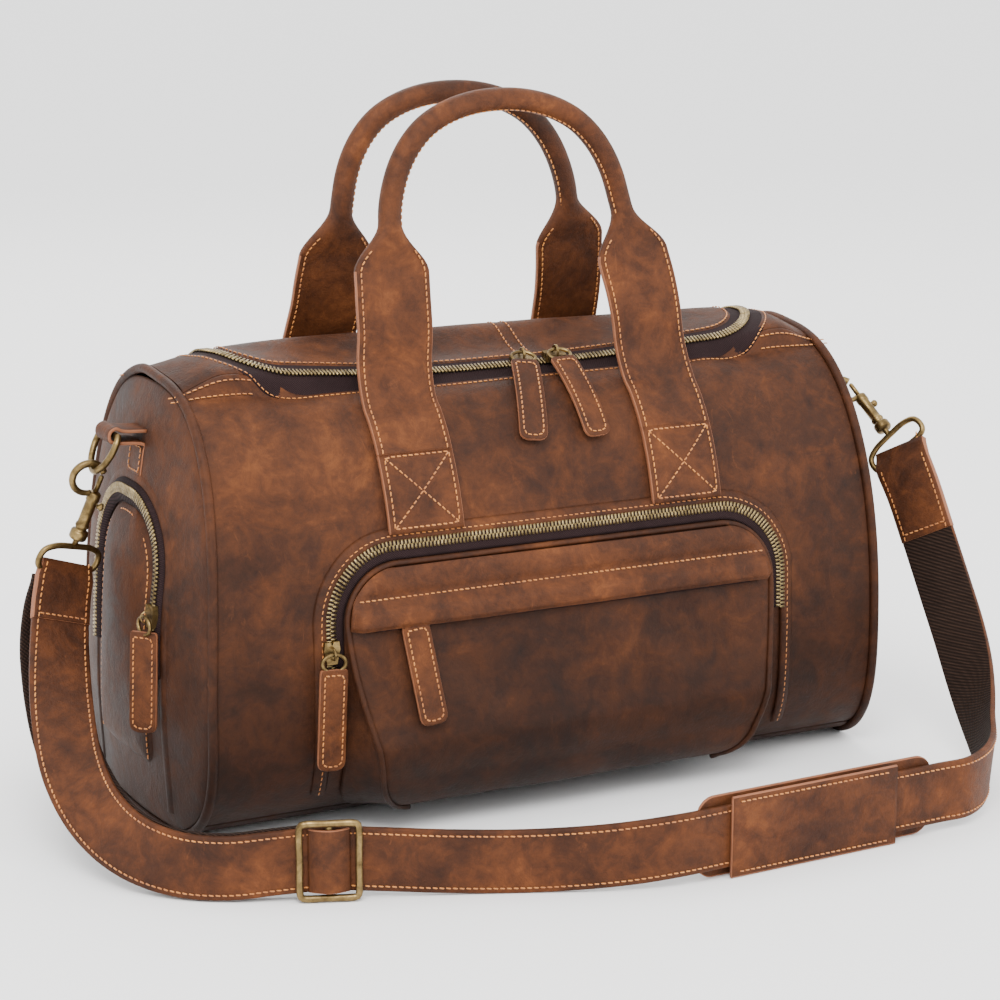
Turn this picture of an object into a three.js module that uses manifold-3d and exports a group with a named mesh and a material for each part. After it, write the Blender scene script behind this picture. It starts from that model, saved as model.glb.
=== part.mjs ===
// A leather duffel bag: barrel body with two end caps, a U-shaped top zip under a hinged lid, a front
// pouch pocket, a pocket on each end, two carrying handles and a clip-on shoulder strap.
// Millimetres. +X runs along the bag, -Y is the front, +Z is up, and the bag stands on z = 0.

import * as THREE from 'three';
import { mergeVertices } from 'three/addons/utils/BufferGeometryUtils.js';
import { ConvexGeometry } from 'three/addons/geometries/ConvexGeometry.js';
import Module from 'manifold-3d';

const wasm = await Module();
wasm.setup();

// ---------------------------------------------------------------- driving dimensions

const GAP = 0.35;                 // clearance kept between neighbouring pieces
const LEATHER = 2.2;              // thickness of the shell leather
const LINING = 0.8;               // thickness of the lining cloth

const BODY = {
  halfWidth: 109.6,               // half the depth at the widest height
  height: 276,
  widestZ: 94,
  topPower: 2.63,                 // superellipse powers above and below the widest height
  basePower: 3.31,
  baseDrop: 1.5,                  // how far the curve would pass below the flat base
};
const CAP = { x: 248, y: 334, z: 476, centreZ: 80 };   // ellipsoid that the end caps are cut from

const SEAM_Y = 41;                // top seams, in front of and behind the opening
const BASE_SEAM_Z = 13;           // seams between the base and the front and back panels

const ZIP = { halfX: 191, frontY: -38, corner: 40, tape: 9 };     // U-shaped line of the main zip
const POCKET = {                  // front pouch pocket
  halfX: 150, bottom: 15, top: 171, topCorner: 36, bottomCorner: 20,
  lip: 5, bulge: 26, bulgeZ: 62, tape: 11,
};
const END_POCKET = { halfY: 58, bottom: 42, top: 212, bulge: 9, tape: 11, zipRise: 60, sliderRise: 98 };

const HANDLE = {
  halfX: 91.5, patchBottom: 186, patchTop: 231, halfWidth: 25, thickness: 4.4,
  rollRadius: 7.2, peakZ: 438, rollStartZ: 360,
};
const STRAP = { halfWidth: 19, thickness: 4.2, layerStep: 5.6 };
const TAB = { width: 18, length: 62, thickness: 3.2, wire: 1.2 };
const RING = { width: 32, drop: 25, wire: 2.1 };

const COLOURS = {
  leather: 0x73482f, trim: 0x8a5433, tape: 0x3b2c2a, lining: 0x4a3a2c, board: 0x2a2624,
  webbing: 0x2c2420, brass: 0xa08c5a,
};

// ---------------------------------------------------------------- solids and booleans

function toManifold(geometry) {
  const bare = geometry.index ? geometry.toNonIndexed() : geometry.clone();
  bare.deleteAttribute('normal');
  bare.deleteAttribute('uv');
  const merged = mergeVertices(bare, 2e-3);
  return new wasm.Manifold(new wasm.Mesh({
    numProp: 3,
    vertProperties: new Float32Array(merged.attributes.position.array),
    triVerts: new Uint32Array(merged.index.array),
  }));
}

function toGeometry(manifold) {
  const mesh = manifold.getMesh();
  const geometry = new THREE.BufferGeometry();
  geometry.setAttribute('position', new THREE.BufferAttribute(mesh.vertProperties, 3));
  geometry.setIndex(new THREE.BufferAttribute(mesh.triVerts, 1));
  return geometry;
}

// Rings of equally many points, joined one to the next, with a fan over each end.
function loft(rings) {
  const points = rings.flat();
  const count = rings[0].length;
  const faces = [];
  for (let i = 0; i < rings.length - 1; i += 1) {
    for (let j = 0; j < count; j += 1) {
      const a = i * count + j;
      const b = i * count + (j + 1) % count;
      faces.push(a, b, a + count, b, b + count, a + count);
    }
  }
  const last = (rings.length - 1) * count;
  for (let j = 1; j < count - 1; j += 1) {
    faces.push(0, j + 1, j, last, last + j, last + j + 1);
  }
  const geometry = new THREE.BufferGeometry();
  geometry.setAttribute('position', new THREE.Float32BufferAttribute(points.flatMap((p) => p.toArray()), 3));
  geometry.setIndex(faces);
  return geometry;
}

// A band whose section is a flat oval, carried along a route. Each station gives the middle of the
// band, the direction across it and its half width and half thickness.
function band(stations, sides = 8) {
  const rings = stations.map((station, i) => {
    const before = stations[Math.max(i - 1, 0)].at;
    const after = stations[Math.min(i + 1, stations.length - 1)].at;
    const along = after.clone().sub(before).normalize();
    const across = station.across.clone().addScaledVector(along, -station.across.dot(along)).normalize();
    const face = new THREE.Vector3().crossVectors(along, across);
    const ring = [];
    for (let j = 0; j < sides; j += 1) {
      const angle = (j + 0.5) * 2 * Math.PI / sides;
      const c = Math.cos(angle);
      const s = Math.sin(angle);
      const square = station.round ? 1 : 0.3;
      const u = Math.sign(c) * Math.abs(c) ** square * station.halfWidth;
      const v = Math.sign(s) * Math.abs(s) ** square * station.halfThickness;
      ring.push(station.at.clone().addScaledVector(across, u).addScaledVector(face, v));
    }
    return ring;
  });
  return loft(rings);
}

function circle(radius, sides) {
  const shape = new THREE.Shape();
  shape.absarc(0, 0, radius, 0, 2 * Math.PI);
  return new THREE.Shape(shape.getPoints(sides).slice(0, sides));
}

// A round wire or cord along a curve.
function wire(points, radius, { closed = false, sides = 8, steps = 24 } = {}) {
  const path = new THREE.CatmullRomCurve3(points, closed, 'centripetal');
  return new THREE.ExtrudeGeometry(circle(radius, sides), { steps, extrudePath: path, curveSegments: sides });
}

function shapeOf(points) {
  return new THREE.Shape(points.map(([u, v]) => new THREE.Vector2(u, v)));
}

// Extrudes an outline given in (y, z) along X, in (x, z) along Y or in (x, y) along Z.
function prismX(shape, x0, x1) {
  const geometry = new THREE.ExtrudeGeometry(shape, { depth: x1 - x0, bevelEnabled: false, curveSegments: 5 });
  const turn = new THREE.Matrix4().makeBasis(
    new THREE.Vector3(0, 1, 0), new THREE.Vector3(0, 0, 1), new THREE.Vector3(1, 0, 0));
  return geometry.applyMatrix4(turn).translate(x0, 0, 0);
}

function prismY(shape, y0, y1) {
  const geometry = new THREE.ExtrudeGeometry(shape, { depth: y1 - y0, bevelEnabled: false, curveSegments: 5 });
  return geometry.rotateX(Math.PI / 2).translate(0, y1, 0);
}

function prismZ(shape, z0, z1) {
  const geometry = new THREE.ExtrudeGeometry(shape, { depth: z1 - z0, bevelEnabled: false, curveSegments: 5 });
  return geometry.translate(0, 0, z0);
}

function block(x0, x1, y0, y1, z0, z1) {
  const geometry = new THREE.BoxGeometry(x1 - x0, y1 - y0, z1 - z0);
  return toManifold(geometry.translate((x0 + x1) / 2, (y0 + y1) / 2, (z0 + z1) / 2));
}

// ---------------------------------------------------------------- scene graph

const bag = new THREE.Group();
bag.name = 'duffel_bag';

const FINISH = {
  leather: { roughness: 0.5, metalness: 0 },
  trim: { roughness: 0.5, metalness: 0 },
  tape: { roughness: 0.9, metalness: 0 },
  lining: { roughness: 0.9, metalness: 0 },
  board: { roughness: 0.7, metalness: 0 },
  webbing: { roughness: 0.9, metalness: 0 },
  brass: { roughness: 0.35, metalness: 1 },
};

function add(name, solid, look) {
  const geometry = solid.isBufferGeometry ? solid : toGeometry(solid);
  const material = new THREE.MeshStandardMaterial({ color: COLOURS[look], ...FINISH[look] });
  const mesh = new THREE.Mesh(geometry, material);
  mesh.name = name;
  bag.add(mesh);
  return mesh;
}

// ---------------------------------------------------------------- body surfaces

// Half the depth of the body at a height, `inset` inside its outer face.
function halfDepth(z, inset = 0) {
  const up = z >= BODY.widestZ;
  const rise = up ? BODY.height - inset - BODY.widestZ : BODY.widestZ - inset + BODY.baseDrop;
  const power = up ? BODY.topPower : BODY.basePower;
  const t = Math.min(Math.abs(z - BODY.widestZ) / rise, 1);
  return (BODY.halfWidth - inset) * (1 - t ** power) ** (1 / power);
}

// The point (depth, height) that stands `out` off the body's face at a height.
function outside(z, out) {
  const slope = (halfDepth(z + 0.5) - halfDepth(z - 0.5));
  const length = Math.hypot(1, slope);
  return [halfDepth(z) + out / length, z - out * slope / length];
}

// The body's section, as points of a superellipse with a flat foot.
function sectionPoints(inset, count = 40) {
  const points = [];
  for (let i = 0; i < count; i += 1) {
    const angle = i / count * 2 * Math.PI;
    const c = Math.cos(angle);
    const s = Math.sin(angle);
    const up = s >= 0;
    const power = 2 / (up ? BODY.topPower : BODY.basePower);
    const rise = up ? BODY.height - inset - BODY.widestZ : BODY.widestZ - inset + BODY.baseDrop;
    const y = (BODY.halfWidth - inset) * Math.sign(c) * Math.abs(c) ** power;
    const z = BODY.widestZ + rise * Math.sign(s) * Math.abs(s) ** power;
    points.push([y, Math.max(z, inset)]);
  }
  return points;
}

function capX(y, z, inset = 0) {
  return (CAP.x - inset) * Math.sqrt(1 - (y / CAP.y) ** 2 - ((z - CAP.centreZ) / CAP.z) ** 2);
}

// The solid ellipsoid whose two ends are the bag's end caps.
function capSolid(inset) {
  const sphere = new THREE.SphereGeometry(1, 24, 40).rotateZ(Math.PI / 2);
  return toManifold(sphere.scale(CAP.x - inset, CAP.y - inset, CAP.z - inset).translate(0, 0, CAP.centreZ));
}

function barrelSolid(inset) {
  return toManifold(prismX(shapeOf(sectionPoints(inset)), -300, 300));
}

// The whole body, inset by one amount on its barrel and another on its end caps.
function bodySolid(inset, capInset = inset) {
  return barrelSolid(inset).intersect(capSolid(capInset));
}

// The plan of the top opening, `out` outside the line of the zip's teeth.
function openingPlan(out) {
  const x = ZIP.halfX + out;
  const y = ZIP.frontY - out;
  const r = ZIP.corner + out;
  const shape = new THREE.Shape();
  shape.moveTo(x, SEAM_Y);
  shape.lineTo(-x, SEAM_Y);
  shape.lineTo(-x, y + r);
  shape.absarc(-x + r, y + r, r, Math.PI, 1.5 * Math.PI);
  shape.absarc(x - r, y + r, r, 1.5 * Math.PI, 2 * Math.PI);
  shape.closePath();
  return shape;
}

function openingPrism(out) {
  return toManifold(prismZ(openingPlan(out), 200, 320));
}

// An arch with rounded upper and lower corners, in the plane (across, z).
function archShape(half, bottom, top, topCorner, bottomCorner) {
  const shape = new THREE.Shape();
  shape.moveTo(half, bottom + bottomCorner);
  shape.lineTo(half, top - topCorner);
  shape.absarc(half - topCorner, top - topCorner, topCorner, 0, Math.PI / 2);
  shape.absarc(-half + topCorner, top - topCorner, topCorner, Math.PI / 2, Math.PI);
  shape.lineTo(-half, bottom + bottomCorner);
  if (bottomCorner > 0) {
    shape.absarc(-half + bottomCorner, bottom + bottomCorner, bottomCorner, Math.PI, 1.5 * Math.PI);
    shape.absarc(half - bottomCorner, bottom + bottomCorner, bottomCorner, 1.5 * Math.PI, 2 * Math.PI);
  }
  shape.closePath();
  return shape;
}

// ---------------------------------------------------------------- shell of the body

const PIPING_RADIUS = 3;

// The closed line where the barrel meets an end cap.
function rimPoints(side, out) {
  return sectionPoints(-out, 40)
    .map(([y, z]) => new THREE.Vector3(side * capX(y, z), y, Math.max(z, PIPING_RADIUS)));
}

function pipingSolid(side, radius) {
  const geometry = wire(rimPoints(side, 0), radius, { closed: true, sides: 6, steps: 44 });
  return toManifold(geometry);
}

const shell = bodySolid(0, PIPING_RADIUS + 2 * GAP).subtract(barrelSolid(LEATHER));
const seam = GAP / 2;
const opening = openingPrism(ZIP.tape);
const aboveBase = block(-300, 300, -200, 200, BASE_SEAM_Z + seam, 400);

add('front_panel', shell.intersect(block(-300, 300, -200, -SEAM_Y - seam, BASE_SEAM_Z + seam, 400))
  .subtract(opening), 'leather');
add('back_panel', shell.intersect(block(-300, 300, SEAM_Y + seam, 200, BASE_SEAM_Z + seam, 400)), 'leather');
add('base_panel', shell.intersect(block(-300, 300, -200, 200, -10, BASE_SEAM_Z - seam)), 'leather');
for (const [word, side] of [['left', -1], ['right', 1]]) {
  const x0 = side < 0 ? -300 : 100;
  const yoke = shell.intersect(aboveBase)
    .intersect(block(x0, x0 + 200, -SEAM_Y + seam, SEAM_Y - seam, 200, 400))
    .subtract(opening);
  add(`top_yoke_${word}`, yoke, 'leather');
  add(`piping_${word}`, pipingSolid(side, PIPING_RADIUS), 'trim');

  const cap = bodySolid(PIPING_RADIUS + 2 * GAP, 0).subtract(capSolid(LEATHER))
    .intersect(block(side < 0 ? -300 : 0, side < 0 ? 0 : 300, -200, 200, 2 * PIPING_RADIUS + 6 * GAP, 400));
  add(`end_panel_${word}`, cap, 'leather');
}

const liningOut = LEATHER + 2 * GAP;
const liningCap = PIPING_RADIUS + 5 * GAP;
const liningShell = bodySolid(liningOut, liningCap).subtract(bodySolid(liningOut + LINING, liningCap + LINING))
  .subtract(openingPrism(ZIP.tape));
add('lining', liningShell, 'lining');

const BOARD = { halfX: 200, halfY: 43, z: liningOut + LINING + 0.8, thickness: 3 };
const boardShape = archShape(BOARD.halfX, -BOARD.halfY, BOARD.halfY, 18, 18);
add('base_board', toManifold(prismZ(boardShape, BOARD.z, BOARD.z + BOARD.thickness)), 'board');

const slipInset = liningOut + LINING + 2.5;
const slipPocket = barrelSolid(slipInset).subtract(barrelSolid(slipInset + 1.2))
  .intersect(block(-100, 100, 40, 200, 110, 210));
add('inner_pocket', slipPocket, 'lining');

// ---------------------------------------------------------------- lid and main zip

const topShell = barrelSolid(0).subtract(barrelSolid(LEATHER));
const tapeShell = barrelSolid(0).subtract(barrelSolid(LEATHER - 0.4));
const teeth = GAP / 2;
add('main_zip_body', tapeShell.intersect(openingPrism(ZIP.tape - GAP)).subtract(openingPrism(teeth))
  .intersect(block(-300, 300, -200, SEAM_Y - 4, 200, 400)), 'tape');
add('main_zip_lid', tapeShell.intersect(openingPrism(-teeth)).subtract(openingPrism(-ZIP.tape))
  .intersect(block(-300, 300, -200, SEAM_Y - 4, 200, 400)), 'tape');
add('lid_panel', topShell.intersect(openingPrism(-ZIP.tape - GAP))
  .intersect(block(-300, 300, -200, SEAM_Y - 1, 200, 400)), 'leather');

// ---------------------------------------------------------------- zip sliders and pulls

const BAIL = 7.2;                  // height of the pull's ring above the zip, inside the slider's bail
const PULL_RING = { halfWidth: 7.6, halfLength: 5.4 };

// A slider lying in the plane of a zip: +Z points away from the tape and +Y follows the teeth. Its
// bail stands along the teeth, or across them where the pull hangs to one side of the zip.
function sliderSolid(bailAcross) {
  const outline = shapeOf([[-3.2, -7], [3.2, -7], [5.2, 2], [4.6, 7], [1.2, 7], [0, 4.6], [-1.2, 7],
    [-4.6, 7], [-5.2, 2]]);
  const plate = toManifold(prismZ(outline, 0.5, 4.2));
  const bail = wire([[0, -3.6, 3], [0, -2.8, 7.4], [0, 0, 9.6], [0, 2.8, 7.4], [0, 3.6, 3]]
    .map((p) => new THREE.Vector3(...p)), 0.9, { sides: 6, steps: 8 });
  return plate.add(toManifold(bailAcross ? bail.rotateZ(Math.PI / 2) : bail));
}

// A wire ring whose top runs through the slider's bail, with the leather tab hanging from its far
// side, along -Y. The tab is turned about its own length by `twist` degrees and, where `bend` gives a
// radius, curves back towards the bag.
function pullSolid(twist, bend) {
  const ring = [];
  const middle = -PULL_RING.halfLength;
  for (let i = 0; i < 12; i += 1) {
    const angle = i / 12 * 2 * Math.PI;
    ring.push(vector(PULL_RING.halfWidth * Math.cos(angle), middle + PULL_RING.halfLength * Math.sin(angle), 0));
  }
  const link = toManifold(wire(ring, TAB.wire, { closed: true, sides: 6, steps: 16 }));
  const top = middle - PULL_RING.halfLength + 1.3;
  const shape = archShape(TAB.width / 2, top - TAB.length, top, 4, 5);
  const tab = toManifold(prismZ(shape, -TAB.thickness / 2, TAB.thickness / 2)
    .rotateY(THREE.MathUtils.degToRad(twist)));
  if (!bend) return link.add(tab);
  const curved = tab.refineToLength(9).warp((point) => {
    const turned = (top - point[1]) / bend;
    const reach = bend + point[2];
    point[1] = top - reach * Math.sin(turned);
    point[2] = reach * Math.cos(turned) - bend;
  });
  return link.add(curved);
}

// Adds a slider and its pull. `along` is the way the slider's pointed end faces, `up` points out of
// the bag, and the pull hangs along `hang` from the bail.
function addZipPull(name, at, along, up, hang, { twist = 0, bend = 0 } = {}) {
  const sideways = Math.abs(along.dot(hang)) < 0.5;
  const x = new THREE.Vector3().crossVectors(along, up).normalize();
  const y = new THREE.Vector3().crossVectors(up, x).normalize();
  const place = new THREE.Matrix4().makeBasis(x, y, up.clone().normalize()).setPosition(at);
  add(`${name}_slider`, toManifold(toGeometry(sliderSolid(sideways)).applyMatrix4(place)), 'brass');

  const outward = up.clone().normalize();
  const back = hang.clone().negate().normalize();
  const face = outward.clone().addScaledVector(back, -outward.dot(back)).normalize();
  const side = new THREE.Vector3().crossVectors(back, face);
  const ringAt = at.clone().addScaledVector(outward, BAIL);
  const turn = new THREE.Matrix4().makeBasis(side, back, face).setPosition(ringAt);
  add(`${name}_pull`, toManifold(toGeometry(pullSolid(twist, bend)).applyMatrix4(turn)), 'trim');
}

const vector = (x, y, z) => new THREE.Vector3(x, y, z);
const mainUp = vector(0, -0.32, 0.95).normalize();
const mainZ = BODY.widestZ + (BODY.height - BODY.widestZ)
  * (1 - (-ZIP.frontY / BODY.halfWidth) ** BODY.topPower) ** (1 / BODY.topPower);
const MAIN_PULL_BEND = 125;       // radius to which the main pulls' tabs curve over the bag
addZipPull('main_left', vector(7, ZIP.frontY, mainZ), vector(1, 0, 0), mainUp, vector(-0.26, -0.8, -0.46),
  { bend: MAIN_PULL_BEND });
addZipPull('main_right', vector(31, ZIP.frontY, mainZ), vector(-1, 0, 0), mainUp, vector(0.04, -0.8, -0.46),
  { bend: MAIN_PULL_BEND });

// ---------------------------------------------------------------- front pocket

// Depth of the pouch in front of the panel at a height.
function pouchY(z, inset) {
  const t = z > POCKET.bulgeZ ? (POCKET.top - z) / (POCKET.top - POCKET.bulgeZ) : 1;
  const below = (POCKET.bulgeZ - z) / (POCKET.bulgeZ - POCKET.bottom);
  const lift = z > POCKET.bulgeZ ? POCKET.lip + (POCKET.bulge - POCKET.lip) * t ** 2
    : POCKET.bulge * Math.sqrt(Math.max(1 - below ** 3, 0.12));
  return -halfDepth(Math.max(z, 40)) - lift + inset;
}

function pouchSolid(inset) {
  const points = [];
  const steps = 10;
  const low = POCKET.bottom + inset;
  const high = POCKET.top - inset;
  for (let i = 0; i <= steps; i += 1) {
    const z = low + (high - low) * i / steps;
    points.push([pouchY(z, inset), z]);
  }
  points.push([-60, high], [-60, low]);
  const side = toManifold(prismX(shapeOf(points.reverse()), -300, 300));
  const front = archShape(POCKET.halfX - inset, low, high, POCKET.topCorner - inset,
    POCKET.bottomCorner - inset);
  return side.intersect(toManifold(prismY(front, -200, -50)));
}

const pouchClear = barrelSolid(-GAP - 1.6);
const pouchShell = pouchSolid(0).subtract(pouchSolid(LEATHER)).subtract(pouchClear);
const FACE_INSET = LEATHER + 3;    // from the pouch's outline to the seam round its face

// The part of space in front of the pouch's face, `out` outside the seam round it.
function faceRegion(out) {
  const inset = FACE_INSET - out;
  const front = archShape(POCKET.halfX - inset, POCKET.bottom + inset, POCKET.top - inset,
    POCKET.topCorner - inset, POCKET.bottomCorner - inset);
  return toManifold(prismY(front, -300, -50));
}

const FLAP = { bottom: 133, top: 164, fold: 152, halfX: 146, thickness: 2.2, lift: 6.5 };
const SLOT = { halfX: 132, bottom: 134.5, top: 149.5, recess: 4.5 };      // slit for the zip behind the flap
add('pocket_face', pouchShell.intersect(faceRegion(0))
  .subtract(block(-SLOT.halfX, SLOT.halfX, -300, 0, SLOT.bottom, SLOT.top)), 'leather');
add('pocket_gusset', pouchShell.subtract(faceRegion(GAP)), 'leather');

// The arch of the pocket's zip, lying on the front panel around the pouch.
function pocketZipRegion(out, bottom) {
  const arch = archShape(POCKET.halfX + out, bottom, POCKET.top + out, POCKET.topCorner + out, 0);
  return toManifold(prismY(arch, -200, -60));
}
const POCKET_ZIP_END = 110;
const onFront = barrelSolid(-GAP - 1.2).subtract(barrelSolid(-GAP));
add('pocket_zip', onFront.intersect(pocketZipRegion(POCKET.tape, POCKET_ZIP_END))
  .subtract(pocketZipRegion(GAP, POCKET_ZIP_END - 20)), 'tape');

// A layer that follows the pouch's face, from `out(z)` off it.
function pouchLayer(out, thickness, halfX, bottom, top) {
  const steps = 8;
  const inner = [];
  const outer = [];
  for (let i = 0; i <= steps; i += 1) {
    const z = bottom + (top - bottom) * i / steps;
    outer.push([pouchY(z, 0) - out(z) - thickness, z]);
    inner.push([pouchY(z, 0) - out(z), z]);
  }
  return toManifold(prismX(shapeOf([...outer, ...inner.reverse()].reverse()), -halfX, halfX));
}

const flapOut = (z) => GAP * 2 + FLAP.lift * THREE.MathUtils.smoothstep(FLAP.fold - z, 0, 8);
add('flap_zip', pouchLayer(() => -SLOT.recess - 1.2, 1.2, SLOT.halfX + 4, SLOT.bottom - 3, SLOT.top + 3),
  'tape');
add('pocket_flap', pouchLayer(flapOut, FLAP.thickness, FLAP.halfX, FLAP.bottom, FLAP.top)
  .intersect(toManifold(prismY(archShape(FLAP.halfX, FLAP.bottom - 40, POCKET.top - 4, 32, 4), -300, 0))),
'trim');

const pocketSideX = -POCKET.halfX - POCKET.tape + 1.7;
const frontY = (z) => -halfDepth(z) - GAP - 1.2;
addZipPull('pocket', vector(pocketSideX, frontY(121), 121), vector(0, 0, 1), vector(0, -1, 0),
  vector(-0.06, -0.03, -1));
const flapPullZ = (SLOT.bottom + SLOT.top) / 2;
addZipPull('flap', vector(-108, pouchY(flapPullZ, 0) + SLOT.recess, flapPullZ), vector(1, 0, 0),
  vector(0, -1, 0.1), vector(0.1, -0.26, -1));

// ---------------------------------------------------------------- end pockets

function endPocketRegion(half, bottom, top, topCorner, bottomCorner) {
  return toManifold(prismX(archShape(half, bottom, top, topCorner, bottomCorner), -320, 320));
}
for (const [word, side] of [['left', -1], ['right', 1]]) {
  const here = block(side < 0 ? -320 : 0, side < 0 ? 0 : 320, -200, 200, 0, 400);
  const { halfY, bottom, top, bulge, tape, zipRise, sliderRise } = END_POCKET;
  const pad = capSolid(-bulge).subtract(capSolid(-GAP))
    .intersect(endPocketRegion(halfY - tape, bottom, top - tape, halfY - tape - 6, 16)).intersect(here);
  add(`end_pocket_${word}`, pad, 'leather');
  const zip = capSolid(-bulge * 0.5).subtract(capSolid(-GAP))
    .intersect(endPocketRegion(halfY, bottom + zipRise, top, halfY - 6, 0))
    .subtract(endPocketRegion(halfY - tape + GAP, bottom, top - tape + GAP, halfY - tape - 6, 0))
    .intersect(here);
  add(`end_zip_${word}`, zip, 'tape');

  const y = -halfY + tape / 2;
  const z = bottom + sliderRise;
  addZipPull(`end_${word}`, vector(side * (capX(y, z, -bulge * 0.5) + 0.2), y, z), vector(0, 0, 1),
    vector(side, -0.12, 0.05), vector(side * 0.05, -0.03, -1), { twist: -side * 36 });
}

// ---------------------------------------------------------------- strap rings and hooks

const RING_BAR = { x: 254, z: 243 };
for (const [word, side] of [['left', -1], ['right', 1]]) {
  // A folded leather tab: flat against the end cap and looped round the ring's straight bar.
  const loopOuter = 5.6;
  const tabZ0 = END_POCKET.top + 3;
  const x0 = capX(0, tabZ0) + GAP;
  const x1 = capX(0, RING_BAR.z) + GAP;
  const outline = shapeOf([[x0, tabZ0], [x0 + 3.4, tabZ0], [x1 + 3.6, RING_BAR.z - 9],
    [RING_BAR.x + 1, RING_BAR.z - loopOuter], [RING_BAR.x + loopOuter, RING_BAR.z],
    [RING_BAR.x + 4, RING_BAR.z + 4], [RING_BAR.x, RING_BAR.z + loopOuter], [x1 + 2, RING_BAR.z + 8],
    [x1, RING_BAR.z + 4]].map(([x, z]) => [side * x, z]));
  const tab = toManifold(prismY(outline, -12, 12))
    .subtract(toManifold(new THREE.CylinderGeometry(RING.wire + 1, RING.wire + 1, 60, 16)
      .translate(side * RING_BAR.x, 0, RING_BAR.z)))
    .subtract(capSolid(-GAP));
  add(`ring_tab_${word}`, tab, 'trim');

  // The D-shaped ring hangs from its bar, swung outwards by the hook that is clipped to it.
  const drop = ringDrop(side);
  const ringAt = (u, v) => vector(side * RING_BAR.x, u, RING_BAR.z).addScaledVector(drop, v);
  const half = RING.width / 2;
  const curve = [[-half + 2, 0], [0, 0], [half - 2, 0], [half, 3], [half, 11], [half * 0.66, 20], [0, RING.drop],
    [-half * 0.66, 20], [-half, 11], [-half, 3]].map(([u, v]) => ringAt(u, v));
  add(`d_ring_${word}`, wire(curve, RING.wire, { closed: true, sides: 6, steps: 22 }), 'brass');
}

function ringDrop(side) {
  return side < 0 ? vector(-0.45, 0, -0.89).normalize() : vector(0.75, 0, -0.66).normalize();
}

const HOOK = {
  loop: 10, wire: 2.4, offset: 8, barrel: 4.3, bore: 2.0, length: 26, collar: 5.6, collarLength: 7,
  pin: 1.6, eyeHalf: 22, eyeDepth: 15, eyeWire: 2.0,
};

// The place of a hook: the top of its barrel, the way its axis runs to the strap, and the side of it
// that the bolt's knob is on.
const HOOKS = {
  left: { loopAt: vector(-267.7, 3.6, 215.6), along: vector(-0.31, 0.25, -0.92), aside: vector(1, 0, 0),
    strapAcross: vector(0.97, 0.22, 0) },
  right: { loopAt: vector(268.2, -17.4, 227.7), along: vector(0.12, -0.80, -0.59), aside: vector(1, 0, 0),
    strapAcross: vector(0.50, -0.50, 0.70) },
};
for (const [word, hook] of Object.entries(HOOKS)) {
  const along = hook.along.normalize();
  const aside = hook.aside.addScaledVector(along, -hook.aside.dot(along)).normalize();
  const face = new THREE.Vector3().crossVectors(along, aside);
  const top = hook.loopAt.clone().addScaledVector(aside, HOOK.offset).addScaledVector(along, HOOK.offset);
  hook.place = new THREE.Matrix4().makeBasis(aside, face, along).setPosition(top);

  // Local axes: x aside, y across the loop, z along the barrel from its top to the strap.
  const loop = [];
  for (let i = 0; i <= 14; i += 1) {
    const angle = THREE.MathUtils.degToRad(62 + i / 14 * 262);
    const [u, v] = [HOOK.loop * Math.cos(angle), HOOK.loop * Math.sin(angle)];
    loop.push(vector(u - HOOK.offset, 0, v - HOOK.offset));
  }
  const tube = (radius, z0, z1) => toManifold(new THREE.CylinderGeometry(radius, radius, z1 - z0, 12)
    .rotateX(Math.PI / 2).translate(0, 0, (z0 + z1) / 2));
  const whole = HOOK.length + HOOK.collarLength;
  const hookBody = toManifold(wire(loop, HOOK.wire, { sides: 7, steps: 14 }))
    .add(tube(HOOK.barrel, 0, HOOK.length + 0.1))
    .add(tube(HOOK.collar, HOOK.length, whole))
    .subtract(tube(HOOK.bore, -6, HOOK.length - 3))
    .subtract(tube(HOOK.bore + 0.4, HOOK.length + 1, whole + 2))
    .subtract(block(0, 12, -2.1, 2.1, 6.5, 21));
  add(`hook_${word}`, toManifold(toGeometry(hookBody).applyMatrix4(hook.place)), 'brass');

  const knob = toManifold(new THREE.CylinderGeometry(1.7, 1.7, 8, 12).rotateZ(Math.PI / 2).translate(4, 0, 9));
  const bolt = tube(HOOK.pin, -12, 13).add(knob);
  add(`hook_bolt_${word}`, toManifold(toGeometry(bolt).applyMatrix4(hook.place)), 'brass');

  // The eye is a flat D, as wide as the strap that is folded round its straight side.
  const e = HOOK.eyeHalf;
  const eyeTop = whole + 5;
  const eyeEnd = eyeTop + HOOK.eyeDepth;
  const across = hook.strapAcross.addScaledVector(along, -hook.strapAcross.dot(along)).normalize();
  const eyePlace = new THREE.Matrix4()
    .makeBasis(new THREE.Vector3().crossVectors(across, along), across, along).setPosition(top);
  const outline = [[0, eyeTop], [-e * 0.6, eyeTop + 0.6], [-e * 0.93, eyeTop + 4], [-e, eyeEnd - 4],
    [-e * 0.9, eyeEnd], [0, eyeEnd], [e * 0.9, eyeEnd], [e, eyeEnd - 4], [e * 0.93, eyeTop + 4],
    [e * 0.6, eyeTop + 0.6]].map(([u, v]) => vector(0, u, v));
  const eye = toManifold(wire(outline, HOOK.eyeWire, { closed: true, sides: 6, steps: 30 }))
    .add(tube(HOOK.bore, whole - 4, eyeTop));
  add(`strap_eye_${word}`, toManifold(toGeometry(eye).applyMatrix4(eyePlace)), 'brass');
}

// ---------------------------------------------------------------- carrying handles

const GRIP_LEAN = -9;              // the grips' peaks stand a little left of the middle

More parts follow.
